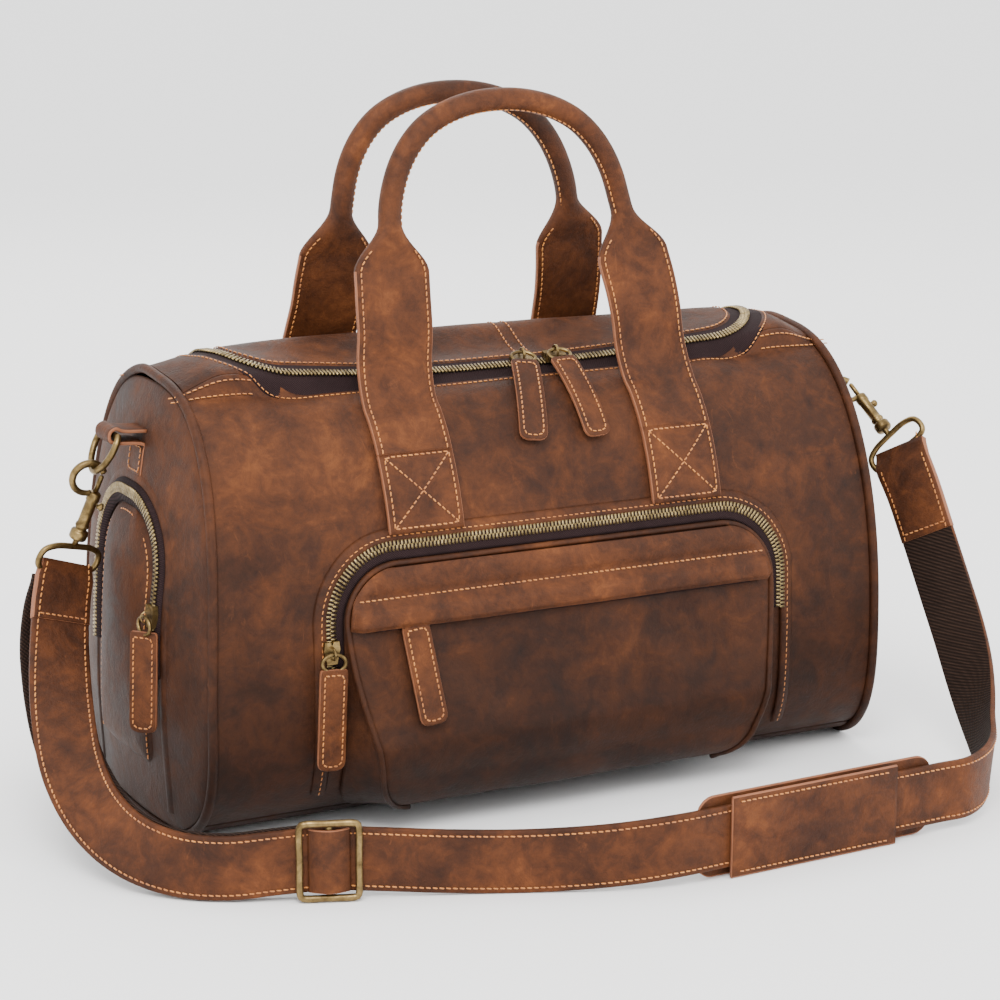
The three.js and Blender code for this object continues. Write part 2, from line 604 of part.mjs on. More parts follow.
// Half of a handle's side view: (x, y, z) of the middle of the strap, for the front handle.
function handleRoute(depthAt) {
  const t = HANDLE.thickness / 2 + GAP;
  const low = [232, 240, 248, 256].map((z) => [HANDLE.halfX, ...outside(z, t)]);
  const high = [[91, 268], [90, 282], [88.5, 300], [87, 318], [85, 334], [83.5, 348], [82, HANDLE.rollStartZ],
    [80, 374], [76.5, 388], [71, 401], [63, 413], [52, 423.5], [37, 431.5], [19, 436.5], [0, HANDLE.peakZ],
  ].map(([x, z]) => [x, depthAt(z), z]);
  return [...low, ...high];
}

function interpolate(z, table) {
  const upper = table.findIndex(([height]) => z <= height);
  if (upper < 0) return table[table.length - 1][1];
  if (upper === 0) return table[0][1];
  const [z0, d0] = table[upper - 1];
  const [z1, d1] = table[upper];
  return d0 + (d1 - d0) * (z - z0) / (z1 - z0);
}

const HANDLE_DEPTH = {
  front: [[257, 70.5], [268, 62], [282, 57], [312, 54], [345, 46], [374, 41], [438, 40]],
  back: [[257, 70.5], [268, 64], [282, 58], [312, 46], [345, 34], [374, 30], [438, 29]],
};

for (const [word, side] of [['front', -1], ['back', 1]]) {
  const half = handleRoute((z) => interpolate(z, HANDLE_DEPTH[word]));
  const otherHalf = half.slice(0, -1).reverse().map(([x, d, z]) => [-x, d, z]);
  const route = [...half, ...otherHalf]
    .map(([x, d, z]) => vector(x + GRIP_LEAN * Math.max(0, (z - 300) / (HANDLE.peakZ - 300)), side * d, z));
  const stations = route.map((at, i) => {
    const before = route[Math.max(i - 1, 0)];
    const after = route[Math.min(i + 1, route.length - 1)];
    const along = after.clone().sub(before);
    const roll = THREE.MathUtils.smoothstep(at.z, HANDLE.rollStartZ - 24, HANDLE.rollStartZ + 6);
    return {
      at,
      across: vector(along.z, 0, -along.x),
      halfWidth: THREE.MathUtils.lerp(HANDLE.halfWidth, HANDLE.rollRadius, roll),
      halfThickness: THREE.MathUtils.lerp(HANDLE.thickness / 2, HANDLE.rollRadius, roll),
      round: roll > 0.5,
    };
  });
  add(`handle_${word}`, toManifold(band(stations, 8)), 'trim');

  for (const [sideWord, xSide] of [['left', -1], ['right', 1]]) {
    const x = xSide * HANDLE.halfX;
    const patch = barrelSolid(-GAP - HANDLE.thickness).subtract(barrelSolid(-GAP))
      .intersect(block(x - HANDLE.halfWidth, x + HANDLE.halfWidth, side < 0 ? -200 : 0, side < 0 ? 0 : 200,
        HANDLE.patchBottom, HANDLE.patchTop - 1.5));
    add(`handle_patch_${word}_${sideWord}`, patch, 'trim');
  }
}

// ---------------------------------------------------------------- shoulder strap

// The strap's middle line from the right-hand eye to the left-hand one, and the direction across it.
const floorZ = STRAP.halfWidth + 0.4;
const STRAP_ROUTE = [
  [[281, -71, 185], [0.50, -0.50, 0.70]], [[284, -80, 168], [0.50, -0.68, 0.53]],
  [[287, -94, 140], [0.50, -0.80, 0.33]], [[289, -112, 108], [0.50, -0.78, 0.37]],
  [[288, -133, 78], [0.48, -0.66, 0.58]], [[280, -160, 50], [0.36, -0.46, 0.81]],
  [[262, -196, 32], [0.16, -0.22, 0.96]], [[236, -236, 25.6], [0.04, -0.06, 1]],
  [[204, -259.2, 25.4], [0, 0, 1]], [[180, -261, 25.4], [0, 0, 1]], [[130, -263.2, 25.4], [0, 0, 1]],
  [[80, -265.4, 25.4], [0, 0, 1]], [[30, -267.6, 25.4], [0, 0, 1]], [[-12, -269.4, 25.4], [0, 0, 1]],
  [[-46, -258, 22], [0, 0, 1]], [[-90, -238, floorZ], [0, 0, 1]], [[-135, -219, 20.5], [0, 0, 1]],
  [[-170, -205.5, 23.2], [0, 0, 1]], [[-198, -195, 25], [0, 0, 1]], [[-226, -184.4, 23.2], [0, 0, 1]],
  [[-252, -172, 20.4], [0.04, 0, 1]], [[-275, -154, 20.8], [0.14, 0, 0.99]],
  [[-293, -128, 26], [0.34, 0, 0.94]], [[-303, -97, 37], [0.60, 0, 0.80]],
  [[-305, -62, 55], [0.82, 0.1, 0.57]], [[-300, -30, 79], [0.93, 0.16, 0.32]],
  [[-292, -3, 108], [0.97, 0.2, 0.1]], [[-285, 12, 136], [0.97, 0.22, 0]],
  [[-280.6, 17.4, 151], [0.97, 0.22, 0]],
];
const strapPath = new THREE.CatmullRomCurve3(STRAP_ROUTE.map(([at]) => vector(...at)), false, 'centripetal');
const strapTurns = new THREE.CatmullRomCurve3(STRAP_ROUTE.map(([, across]) => vector(...across)), false,
  'centripetal');

// A band along a stretch of the strap's route, `away(f)` off its inner face at a fraction of the stretch.
function strapBand(from, to, steps, halfWidth, halfThickness, away = () => 0) {
  const stations = [];
  for (let i = 0; i <= steps; i += 1) {
    const f = i / steps;
    const t = (from + (to - from) * f) / (STRAP_ROUTE.length - 1);
    const along = strapPath.getTangent(t);
    const turn = strapTurns.getPoint(t);
    const across = turn.addScaledVector(along, -turn.dot(along)).normalize();
    const inward = new THREE.Vector3().crossVectors(along, across);
    const at = strapPath.getPoint(t).addScaledVector(inward, away(f));
    stations.push({ at, across, halfWidth, halfThickness });
  }
  return toManifold(band(stations, 8));
}

const STRAP_END = STRAP_ROUTE.length - 1;
const STATION = { pad: [9.1, 12.6], adjuster: 18 };      // places on the strap, counted along its route
const PAD_TRAVEL = 11;             // how far the shoulder pad slides each way
const smooth = THREE.MathUtils.smoothstep;
const returnGap = (f) => STRAP.layerStep + 11 * smooth(f, 0.42, 0.72) * (1 - smooth(f, 0.8, 1));
add('strap_main', strapBand(0, STRAP_END, 56, STRAP.halfWidth, STRAP.thickness / 2), 'webbing');
add('strap_return', strapBand(STATION.adjuster, STRAP_END, 20, STRAP.halfWidth, 1.8, returnGap), 'webbing');

const [padFrom, padTo] = STATION.pad;
const padTunnel = strapBand(padFrom - 0.6, padTo + 0.6, 16, STRAP.halfWidth + 0.8, STRAP.thickness / 2 + 0.6);
const padWay = vector(...STRAP_ROUTE[11][0]).sub(vector(...STRAP_ROUTE[10][0])).setLength(PAD_TRAVEL);
const pad = [-1, 0, 1].reduce(
  (solid, way) => solid.subtract(padTunnel.translate(padWay.x * way, padWay.y * way, 0)),
  strapBand(padFrom, padTo, 10, 25, 5.2));
add('shoulder_pad', pad, 'trim');

// The adjuster: a brass frame round both layers, with a middle bar.
const adjusterAt = vector(-198, -195, 25);
const adjusterAlong = vector(-28, 10.6, 0).normalize();
const adjusterFace = vector(-adjusterAlong.y, adjusterAlong.x, 0);
const frameHalf = { along: 17, up: 23.3 };
const frameCurve = [];
for (const [u, v] of [[-1, -0.8], [-1, 0.8], [-0.8, 1], [0.8, 1], [1, 0.8], [1, -0.8], [0.8, -1], [-0.8, -1]]) {
  frameCurve.push(adjusterAt.clone().addScaledVector(adjusterAlong, u * (frameHalf.along - 2))
    .add(vector(0, 0, v * (frameHalf.up - 2))).addScaledVector(adjusterFace, 4.6));
}
add('strap_adjuster', wire(frameCurve, 2, { closed: true, sides: 6, steps: 32 }), 'brass');

export default bag;
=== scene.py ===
"""The looks of a leather duffel bag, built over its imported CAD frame. Lengths in the code are millimetres
until a mesh is made, and +X runs along the bag, -Y is its front and +Z is up, as in the frame."""

import math

import bpy
import numpy as np
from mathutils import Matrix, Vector


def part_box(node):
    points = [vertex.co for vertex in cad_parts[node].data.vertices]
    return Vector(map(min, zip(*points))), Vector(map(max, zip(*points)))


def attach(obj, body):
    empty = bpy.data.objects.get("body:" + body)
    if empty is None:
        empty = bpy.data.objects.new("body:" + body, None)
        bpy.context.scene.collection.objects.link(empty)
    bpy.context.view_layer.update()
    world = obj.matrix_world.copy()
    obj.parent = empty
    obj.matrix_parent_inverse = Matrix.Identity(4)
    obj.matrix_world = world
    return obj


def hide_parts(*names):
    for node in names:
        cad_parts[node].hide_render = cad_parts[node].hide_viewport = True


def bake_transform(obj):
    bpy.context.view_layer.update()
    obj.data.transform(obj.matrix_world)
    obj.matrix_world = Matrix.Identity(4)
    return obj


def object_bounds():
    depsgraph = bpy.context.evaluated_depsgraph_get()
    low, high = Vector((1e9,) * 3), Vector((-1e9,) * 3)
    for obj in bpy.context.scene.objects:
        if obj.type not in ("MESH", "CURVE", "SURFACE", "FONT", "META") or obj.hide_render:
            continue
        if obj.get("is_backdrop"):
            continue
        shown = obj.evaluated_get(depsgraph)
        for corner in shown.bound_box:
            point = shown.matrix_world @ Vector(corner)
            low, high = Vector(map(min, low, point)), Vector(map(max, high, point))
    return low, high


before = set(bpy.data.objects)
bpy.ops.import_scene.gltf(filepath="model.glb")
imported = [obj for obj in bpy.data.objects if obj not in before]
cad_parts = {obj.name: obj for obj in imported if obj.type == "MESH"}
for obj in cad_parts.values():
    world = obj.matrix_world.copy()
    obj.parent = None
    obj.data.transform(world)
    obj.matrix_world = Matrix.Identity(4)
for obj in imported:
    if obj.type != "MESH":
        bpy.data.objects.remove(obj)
CAD_LOW, CAD_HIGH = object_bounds()
MM = 0.001

# ------------------------------------------------------------------ camera, floor and light

scene = bpy.context.scene
TARGET = Vector((0.0118, 0.0, 0.1734))
AZIMUTH, ELEVATION, DISTANCE = math.radians(27.11), math.radians(12.97), 1.8104
toward_camera = Vector((
    -math.sin(AZIMUTH) * math.cos(ELEVATION), -math.cos(AZIMUTH) * math.cos(ELEVATION), math.sin(ELEVATION),
))
camera = bpy.data.objects.new("camera", bpy.data.cameras.new("camera"))
camera.data.lens = 99.46
camera.location = TARGET + toward_camera * DISTANCE
camera.rotation_mode = "QUATERNION"
camera.rotation_quaternion = (-toward_camera).to_track_quat("-Z", "Y")
scene.collection.objects.link(camera)
scene.camera = camera


def area_light(name, location, size, power, colour):
    data = bpy.data.lights.new(name, "AREA")
    data.size, data.energy, data.color = size, power, colour
    lamp = bpy.data.objects.new(name, data)
    lamp.location = location
    lamp.rotation_euler = (Vector((0, 0, 0.15)) - Vector(location)).to_track_quat("-Z", "Y").to_euler()
    scene.collection.objects.link(lamp)


area_light("key", (-0.9, -1.5, 2.1), 1.3, 60, (1.0, 0.98, 0.96))
area_light("fill", (2.0, -1.6, 1.1), 1.6, 14, (0.97, 0.98, 1.0))
area_light("rim", (0.6, 2.0, 1.8), 1.4, 20, (1.0, 0.98, 0.95))
world = bpy.data.worlds.new("studio")
world.use_nodes = True
world.node_tree.nodes["Background"].inputs["Color"].default_value = (1.0, 1.0, 1.0, 1.0)
world.node_tree.nodes["Background"].inputs["Strength"].default_value = 2.2
scene.world = world

# ------------------------------------------------------------------ sizes, from the frame


def box(node):
    low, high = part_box(node)
    return np.array(low) * 1000, np.array(high) * 1000


HALF_DEPTH = box("back_panel")[1][1]
HEIGHT = box("lid_panel")[1][2]
CAP_X = box("end_panel_right")[1][0]
WIDEST_Z, BASE_DROP = 94.0, 1.5
TOP_POWER, BASE_POWER = 2.63, 3.31  # superellipse powers above and below the widest height
CAP_Y, CAP_Z, CAP_CENTRE_Z = 334.0, 476.0, 80.0  # the ellipsoid that the end caps are cut from
LEATHER = 2.2
SEAM_Y, BASE_SEAM_Z = 41.0, box("base_panel")[1][2]
ZIP_X, ZIP_Y, ZIP_CORNER, TAPE, BODY_TAPE = 191.0, -38.0, 40.0, 9.0, 11.0
POCKET_X, POCKET_LOW, POCKET_HIGH = 150.0, 15.0, 171.0
POCKET_CORNER, POCKET_BASE_CORNER, POCKET_TAPE = 36.0, 20.0, 11.0
PIPING = 3.0


def smooth(t, low=0.0, high=1.0):
    t = np.clip((np.asarray(t, float) - low) / (high - low), 0, 1)
    return t * t * (3 - 2 * t)


def unit(v):
    v = np.asarray(v, float)
    return v / np.maximum(np.linalg.norm(v, axis=-1, keepdims=True), 1e-9)


def soft_noise(points, size, seed, waves=8):
    """Smooth noise of about -1 to 1 whose bumps are about `size` across."""
    draw = np.random.default_rng(seed)
    total = 0
    for _ in range(waves):
        way = unit(draw.normal(size=3)) * 2 * math.pi / size * draw.uniform(0.6, 1.5)
        total = total + np.sin(points @ way + draw.uniform(0, 2 * math.pi))
    return total / math.sqrt(2 * waves)


# ------------------------------------------------------------------ the body's surfaces

TURN = np.linspace(0, 2 * math.pi, 2401)  # round the section, from the foot up the front and over
upper = np.cos(TURN) < 0
power = 2 / np.where(upper, TOP_POWER, BASE_POWER)
rise = np.where(upper, HEIGHT - WIDEST_Z, WIDEST_Z + BASE_DROP)
SECTION_Y = -HALF_DEPTH * np.sign(np.sin(TURN)) * np.abs(np.sin(TURN)) ** power
SECTION_Z = np.maximum(WIDEST_Z - rise * np.sign(np.cos(TURN)) * np.abs(np.cos(TURN)) ** power, 0)
SECTION_S = np.concatenate([[0], np.cumsum(np.hypot(np.diff(SECTION_Y), np.diff(SECTION_Z)))])
GIRTH = SECTION_S[-1]


def s_front(z):
    return np.interp(z, SECTION_Z[150:1200], SECTION_S[150:1200])


def s_back(z):
    return np.interp(z, SECTION_Z[2250:1200:-1], SECTION_S[2250:1200:-1])


def s_top(y):
    return np.interp(y, SECTION_Y[600:1801], SECTION_S[600:1801])


def section(s):
    """Place and outward direction on the section, as y, z and the direction's y and z."""
    s = np.mod(s, GIRTH)
    y, z = np.interp(s, SECTION_S, SECTION_Y), np.interp(s, SECTION_S, SECTION_Z)
    step = 1.5
    ahead, behind = np.mod(s + step, GIRTH), np.mod(s - step, GIRTH)
    dy = np.interp(ahead, SECTION_S, SECTION_Y) - np.interp(behind, SECTION_S, SECTION_Y)
    dz = np.interp(ahead, SECTION_S, SECTION_Z) - np.interp(behind, SECTION_S, SECTION_Z)
    length = np.hypot(dy, dz)
    return y, z, -dz / length, dy / length


# Folds in the leather: both ends as (x, s on the girth), half width and depth.
FOLDS = [
    ((100, s_front(172)), (150, s_front(228)), 9, -1.5), ((118, s_front(160)), (196, s_front(196)), 10, 1.5),
    ((60, s_front(240)), (30, s_front(205)), 9, 1.0), ((168, s_front(176)), (206, s_front(214)), 8, -1.3),
    ((-112, s_front(246)), (-160, s_front(226)), 10, 1.2),
    ((-176, s_front(150)), (-214, s_front(176)), 12, -1.0),
    ((-40, s_front(240)), (-66, s_front(200)), 9, 1.0), ((176, s_front(98)), (214, s_front(64)), 12, 1.2),
    ((-186, s_front(60)), (-222, s_front(96)), 14, -1.1), ((128, s_top(-40)), (160, s_front(240)), 9, 1.3),
    ((-60, s_top(10)), (40, s_top(26)), 12, 1.0), ((60, s_top(6)), (150, s_top(16)), 14, -1.0),
    ((-150, s_top(0)), (-70, s_top(22)), 13, 1.1), ((-120, s_back(190)), (30, s_back(160)), 16, 1.2),
    ((60, s_back(90)), (170, s_back(120)), 18, -1.1), ((-190, s_back(80)), (-90, s_back(60)), 16, 1.0),
]


def grid(*parts):
    """Points from arrays of x, y and z that broadcast together."""
    return np.stack(np.broadcast_arrays(*(np.asarray(v, float) for v in parts)), axis=-1)


def corner_cut(depth, radius):
    """How much a rounded corner takes off a side at a depth into the corner."""
    return radius - np.sqrt(np.maximum(radius**2 - np.maximum(depth, 0) ** 2, 0))


def refit(line, count):
    """The same line in x and z with another number of points."""
    at = np.linspace(0, 1, len(line))
    return np.stack([np.interp(np.linspace(0, 1, count), at, line[:, k]) for k in (0, 1)], axis=1)


def relief(x, s, y, z):
    """How far the soft leather stands off its nominal surface."""
    points = grid(x, y, z)
    out = 1.1 * soft_noise(points, 170, 3) + 0.35 * soft_noise(points, 52, 4)
    for (x0, s0), (x1, s1), width, depth in FOLDS:
        dx, ds = x1 - x0, s1 - s0
        along = np.clip(((x - x0) * dx + (s - s0) * ds) / (dx**2 + ds**2), 0, 1)
        away = np.hypot(x - x0 - along * dx, s - s0 - along * ds)
        out = out + depth * np.exp(-((away / width) ** 2)) * (0.4 + 2.4 * along * (1 - along))
    crown = 13.0 * np.exp(-(((y - 12) / 19) ** 2)) * smooth(z, 215, 262)
    crown = crown * (1 - np.clip(np.abs(x) / 240, 0, 1) ** 5)
    stand = (9.5 * np.clip(np.abs(x) / 165, 0, 1.15) ** 2.2 - 1.4) * (1 - smooth(np.abs(x), 196, 230))
    stand = stand * smooth(z, 245, 258) * smooth(y, -50, -41) * (1 - smooth(y, -20, 20))
    sag = -3.2 * np.exp(-(((y + 49) / 9) ** 2)) * smooth(z, 235, 255) * (1 - smooth(np.abs(x), 150, 190))
    rim = 1 - smooth(np.abs(x), 214, 236)
    return (out * rim + crown + stand + sag) * smooth(z, 6, 45)


def barrel(x, s, out=0.0):
    """Points `out` off the soft surface of the barrel."""
    x, s, out = np.moveaxis(grid(x, s, out), -1, 0)
    y, z, ny, nz = section(s)
    lift = out + relief(x, s, y, z)
    return grid(x, y + ny * lift, z + nz * lift)


def cap_x(y, z):
    return CAP_X * np.sqrt(1 - (y / CAP_Y) ** 2 - ((z - CAP_CENTRE_Z) / CAP_Z) ** 2)


def cap(side, y, z, out=0.0):
    """Points `out` off an end cap."""
    y, z, out = np.moveaxis(grid(y, z, out), -1, 0)
    points = grid(side * cap_x(y, z), y, z)
    soft = soft_noise(points, 90, 7 if side < 0 else 8) * smooth(z, 10, 60)
    edge = np.minimum(smooth(HALF_DEPTH - 12 - np.abs(y), 0, 30), smooth(HEIGHT - 26 - z, 0, 30))
    points[..., 0] += side * (out + soft * edge)
    return points


# ------------------------------------------------------------------ materials


class Nodes:
    """A short way of writing a material's nodes."""

    def __init__(self, name):
        self.material = bpy.data.materials.new(name)
        self.material.use_nodes = True
        self.tree = self.material.node_tree
        self.shader = self.tree.nodes["Principled BSDF"]
        self.place = self.add("ShaderNodeTexCoord").outputs["Object"]

    def add(self, kind, **settings):
        node = self.tree.nodes.new(kind)
        for key, value in settings.items():
            setattr(node, key, value)
        return node

    def put(self, socket, value):
        if isinstance(value, bpy.types.NodeSocket):
            self.tree.links.new(value, socket)
        else:
            socket.default_value = value

    def noise(self, scale, detail=4.0, roughness=0.55, distortion=0.0, stretch=None):
        node = self.add("ShaderNodeTexNoise")
        place = self.place
        if stretch:
            mapping = self.add("ShaderNodeMapping")
            self.put(mapping.inputs["Vector"], place)
            mapping.inputs["Scale"].default_value = stretch
            place = mapping.outputs["Vector"]
        self.put(node.inputs["Vector"], place)
        for key, value in (("Scale", scale), ("Detail", detail), ("Roughness", roughness),
                           ("Distortion", distortion)):
            node.inputs[key].default_value = value
        return node.outputs["Fac"]

    def ramp(self, value, stops):
        node = self.add("ShaderNodeValToRGB")
        self.put(node.inputs["Fac"], value)
        elements = node.color_ramp.elements
        while len(elements) < len(stops):
            elements.new(0.5)
        for element, (position, colour) in zip(elements, stops):
            element.position = position
            element.color = (*colour, 1.0) if len(colour) == 3 else colour
        return node.outputs["Color"]

    def span(self, value, low, high, to_low=0.0, to_high=1.0):
        node = self.add("ShaderNodeMapRange")
        self.put(node.inputs["Value"], value)
        for key, number in (("From Min", low), ("From Max", high), ("To Min", to_low), ("To Max", to_high)):
            node.inputs[key].default_value = number
        return node.outputs["Result"]

    def mix(self, kind, factor, a, b):
        node = self.add("ShaderNodeMix", data_type="RGBA", blend_type=kind)
        self.put(node.inputs[0], factor)
        self.put(node.inputs[6], a if isinstance(a, bpy.types.NodeSocket) else (*a, 1.0))
        self.put(node.inputs[7], b if isinstance(b, bpy.types.NodeSocket) else (*b, 1.0))
        return node.outputs[2]

    def math(self, kind, a, b):
        node = self.add("ShaderNodeMath", operation=kind)
        self.put(node.inputs[0], a)
        self.put(node.inputs[1], b)
        return node.outputs[0]

    def bump(self, height, distance, strength=1.0, before=None):
        node = self.add("ShaderNodeBump")
        node.inputs["Strength"].default_value = strength
        node.inputs["Distance"].default_value = distance
        self.put(node.inputs["Height"], height)
        if before:
            self.put(node.inputs["Normal"], before)
        return node.outputs["Normal"]

    def finish(self, colour, roughness, normal=None, **values):
        self.put(self.shader.inputs["Base Color"], colour)
        self.put(self.shader.inputs["Roughness"], roughness)
        if normal:
            self.put(self.shader.inputs["Normal"], normal)
        for key, value in values.items():
            self.shader.inputs[key.replace("_", " ")].default_value = value
        return self.material


BROWNS = [(0.0130, 0.0043, 0.0018), (0.036, 0.0111, 0.0037), (0.068, 0.0208, 0.0062), (0.140, 0.0450, 0.0132)]


def leather(name, bright=1.0, grain=1.0, painted_shade_height=0.0):
    """Waxed pull-up leather: mottled browns, rubbed lighter in clouds and along fine marks, fine grain, and
    where painted_shade_height is given, painted shade darkening it towards the floor.
    """
    n = Nodes(name)
    dark, mid, warm, light = (tuple(bright * c for c in colour) for colour in BROWNS)
    clouds = n.noise(11.0, 6.0, 0.62, 0.5)
    patches = n.noise(38.0, 7.0, 0.68, 0.8)
    specks = n.noise(120.0, 6.0, 0.7, 0.6)
    tone = n.math("ADD", n.math("MULTIPLY", clouds, 0.42), n.math("MULTIPLY", patches, 0.36))
    tone = n.math("ADD", tone, n.math("MULTIPLY", specks, 0.22))
    colour = n.ramp(tone, [(0.36, dark), (0.47, mid), (0.56, warm), (0.68, light)])
    marks = n.span(n.noise(60.0, 9.0, 0.75, 2.2, (1.0, 1.0, 0.35)), 0.60, 0.74)
    colour = n.mix("MIX", n.math("MULTIPLY", marks, 0.5), colour, light)
    stains = n.span(n.noise(21.0, 5.0, 0.7, 1.2), 0.56, 0.70)
    colour = n.mix("MULTIPLY", n.math("MULTIPLY", stains, 0.6), colour, (0.45, 0.38, 0.36))
    # Painted shade: the colour is darkened towards the bottom, most at the floor and fading out at
    # painted_shade_height metres up.
    if painted_shade_height:
        split = n.add("ShaderNodeSeparateXYZ")
        n.put(split.inputs[0], n.place)
        shade = n.span(split.outputs["Z"], 0.0, painted_shade_height, 0.95, 0.0)
        colour = n.mix("MULTIPLY", shade, colour, (0.30, 0.27, 0.25))
    pores = n.add("ShaderNodeTexVoronoi", feature="F1")
    pores.inputs["Scale"].default_value = 720.0
    n.put(pores.inputs["Vector"], n.place)
    wrinkles = n.noise(190.0, 6.0, 0.7, 1.5)
    normal = n.bump(pores.outputs["Distance"], 0.00022 * grain, 0.42)
    normal = n.bump(wrinkles, 0.0011 * grain, 0.42, normal)
    normal = n.bump(patches, 0.0022 * grain, 0.35, normal)
    rough = n.span(patches, 0.3, 0.75, 0.50, 0.72)
    return n.finish(colour, rough, normal, Specular_IOR_Level=0.16)


def woven(name, colour, second, threads, bump=0.0003):
    """Twill: fine diagonal ribs across threads."""
    n = Nodes(name)
    ribs = []
    for way in ((1.0, 0.35, 1.0), (1.0, 0.35, -1.0)):
        mapping = n.add("ShaderNodeMapping")
        n.put(mapping.inputs["Vector"], n.place)
        mapping.inputs["Scale"].default_value = way
        wave = n.add("ShaderNodeTexWave", wave_type="BANDS", bands_direction="DIAGONAL")
        n.put(wave.inputs["Vector"], mapping.outputs["Vector"])
        wave.inputs["Scale"].default_value = threads
        ribs.append(wave.outputs["Fac"])
    weave = n.math("MULTIPLY", ribs[0], n.math("ADD", n.math("MULTIPLY", ribs[1], 0.5), 0.5))
    base = n.mix("MIX", weave, colour, second)
    base = n.mix("MULTIPLY", n.span(n.noise(60.0), 0.4, 0.7, 0.0, 0.5), base, (0.6, 0.56, 0.55))
    return n.finish(base, 0.82, n.bump(weave, bump, 0.8), Specular_IOR_Level=0.12)


def brass(name, colour=(0.30, 0.205, 0.082), dark=(0.085, 0.055, 0.023)):
    """Antique brass, dark in its patina and rubbed bright."""
    n = Nodes(name)
    patina = n.span(n.noise(95.0, 6.0, 0.7, 0.8), 0.35, 0.68)
    base = n.mix("MIX", patina, dark, colour)
    rough = n.span(patina, 0.0, 1.0, 0.52, 0.27)
    return n.finish(base, rough, n.bump(n.noise(420.0, 4.0), 0.0002, 0.3), Metallic=1.0)


def thread_material():
    n = Nodes("thread")
    twist = n.noise(900.0, 2.0, 0.5, 0.0, (1.0, 1.0, 3.0))
    base = n.mix("MIX", n.span(n.noise(40.0), 0.35, 0.7), (0.34, 0.105, 0.014), (0.54, 0.200, 0.028))
    return n.finish(base, 0.6, n.bump(twist, 0.0002, 0.4), Sheen_Weight=0.2)


def cut_edge_material():
    n = Nodes("cut_edge")
    base = n.mix("MIX", n.noise(70.0, 6.0, 0.7), (0.13, 0.040, 0.014), (0.30, 0.105, 0.040))
    return n.finish(base, 0.68, n.bump(n.noise(500.0, 5.0, 0.8), 0.0006, 0.6))


# The body and pocket leathers carry painted shade in their lower parts, up to 0.20 and 0.19 m above the
# floor.
BODY_LEATHER = leather("leather_body", 1.0, 1.0, 0.20)
TRIM_LEATHER = leather("leather_trim", 1.3, 1.15)
POCKET_LEATHER = leather("leather_pocket", 0.85, 0.9, 0.19)
CUT_EDGE = cut_edge_material()
THREAD = thread_material()
TWILL = woven("zip_tape", (0.0085, 0.0040, 0.0044), (0.030, 0.0150, 0.0155), 420.0)
LINING = woven("lining_cloth", (0.030, 0.020, 0.014), (0.075, 0.052, 0.038), 380.0)
WEBBING = woven("strap_webbing", (0.0085, 0.0046, 0.0034), (0.036, 0.0190, 0.0125), 230.0, 0.0008)
BRASS = brass("antique_brass")
TEETH = brass("zip_teeth", (0.38, 0.285, 0.135), (0.11, 0.077, 0.034))

# ------------------------------------------------------------------ mesh helpers


def piece(name, points, faces, material, body, replaces=(), second=None, second_faces=None):
    """Makes a mesh from points in millimetres and lets it ride on a body."""
    mesh = bpy.data.meshes.new(name)
    mesh.from_pydata((np.asarray(points, float).reshape(-1, 3) * MM).tolist(), [], [list(f) for f in faces])
    mesh.validate()
    mesh.polygons.foreach_set("use_smooth", [True] * len(mesh.polygons))
    mesh.materials.append(material)
    if second is not None:
        mesh.materials.append(second)
    if second_faces is not None and len(second_faces) == len(mesh.polygons):
        mesh.polygons.foreach_set("material_index", [int(v) for v in second_faces])
    mesh.update()
    obj = bpy.data.objects.new(name, mesh)
    scene.collection.objects.link(obj)
    if body:
        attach(obj, body)
    if replaces:
        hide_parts(*replaces)
    return obj


def grid_faces(rows, columns, closed_rows=False, closed_columns=False):
    faces = []
    for i in range(rows if closed_rows else rows - 1):
        for j in range(columns if closed_columns else columns - 1):
            a, b = i * columns + j, i * columns + (j + 1) % columns
            c, d = (i + 1) % rows * columns + (j + 1) % columns, (i + 1) % rows * columns + j
            faces.append((a, b, c, d))
    return faces


def shell(name, points, material, body, replaces=(), thick=LEATHER, flip=False, closed_columns=False,
          edge=None):
    """A sheet of leather or cloth whose outer face is a grid of points, rows by columns."""
    rows, columns = points.shape[:2]
    faces = grid_faces(rows, columns, closed_columns=closed_columns)
    if flip:
        faces = [f[::-1] for f in faces]
    obj = piece(name, points, faces, material, body, replaces, second=edge)
    solid = obj.modifiers.new("thickness", "SOLIDIFY")
    solid.thickness = thick * MM
    solid.offset = -1
    if edge is not None:
        solid.material_offset_rim = 1
        solid.use_quality_normals = True
    return obj


def frames(path, across=None, closed=False):
    """Direction along a path at each point, and two directions across it."""
    path = np.asarray(path, float)
    if closed:
        along = unit(np.roll(path, -1, 0) - np.roll(path, 1, 0))
    else:
        along = unit(np.gradient(path, axis=0))
    if across is None:
        first = np.array([0.0, 0.0, 1.0]) if abs(along[0][2]) < 0.8 else np.array([1.0, 0.0, 0.0])
        across = np.empty_like(path)
        for i, way in enumerate(along):
            first = unit(first - way * (first @ way))
            across[i] = first
    else:
        across = np.broadcast_to(np.asarray(across, float), path.shape)
        across = unit(across - along * (across * along).sum(1, keepdims=True))
    return along, across, np.cross(along, across)


def ring_stack(rings, closed=False):
    """Points and faces of rings joined in a row, with the two ends filled unless the row is closed."""
    count, sides = len(rings), len(rings[0])
    faces = grid_faces(count, sides, closed_rows=closed, closed_columns=True)
    if not closed:
        faces.append(tuple(range(sides))[::-1])
        faces.append(tuple(range((count - 1) * sides, count * sides)))
    return np.concatenate(rings), faces


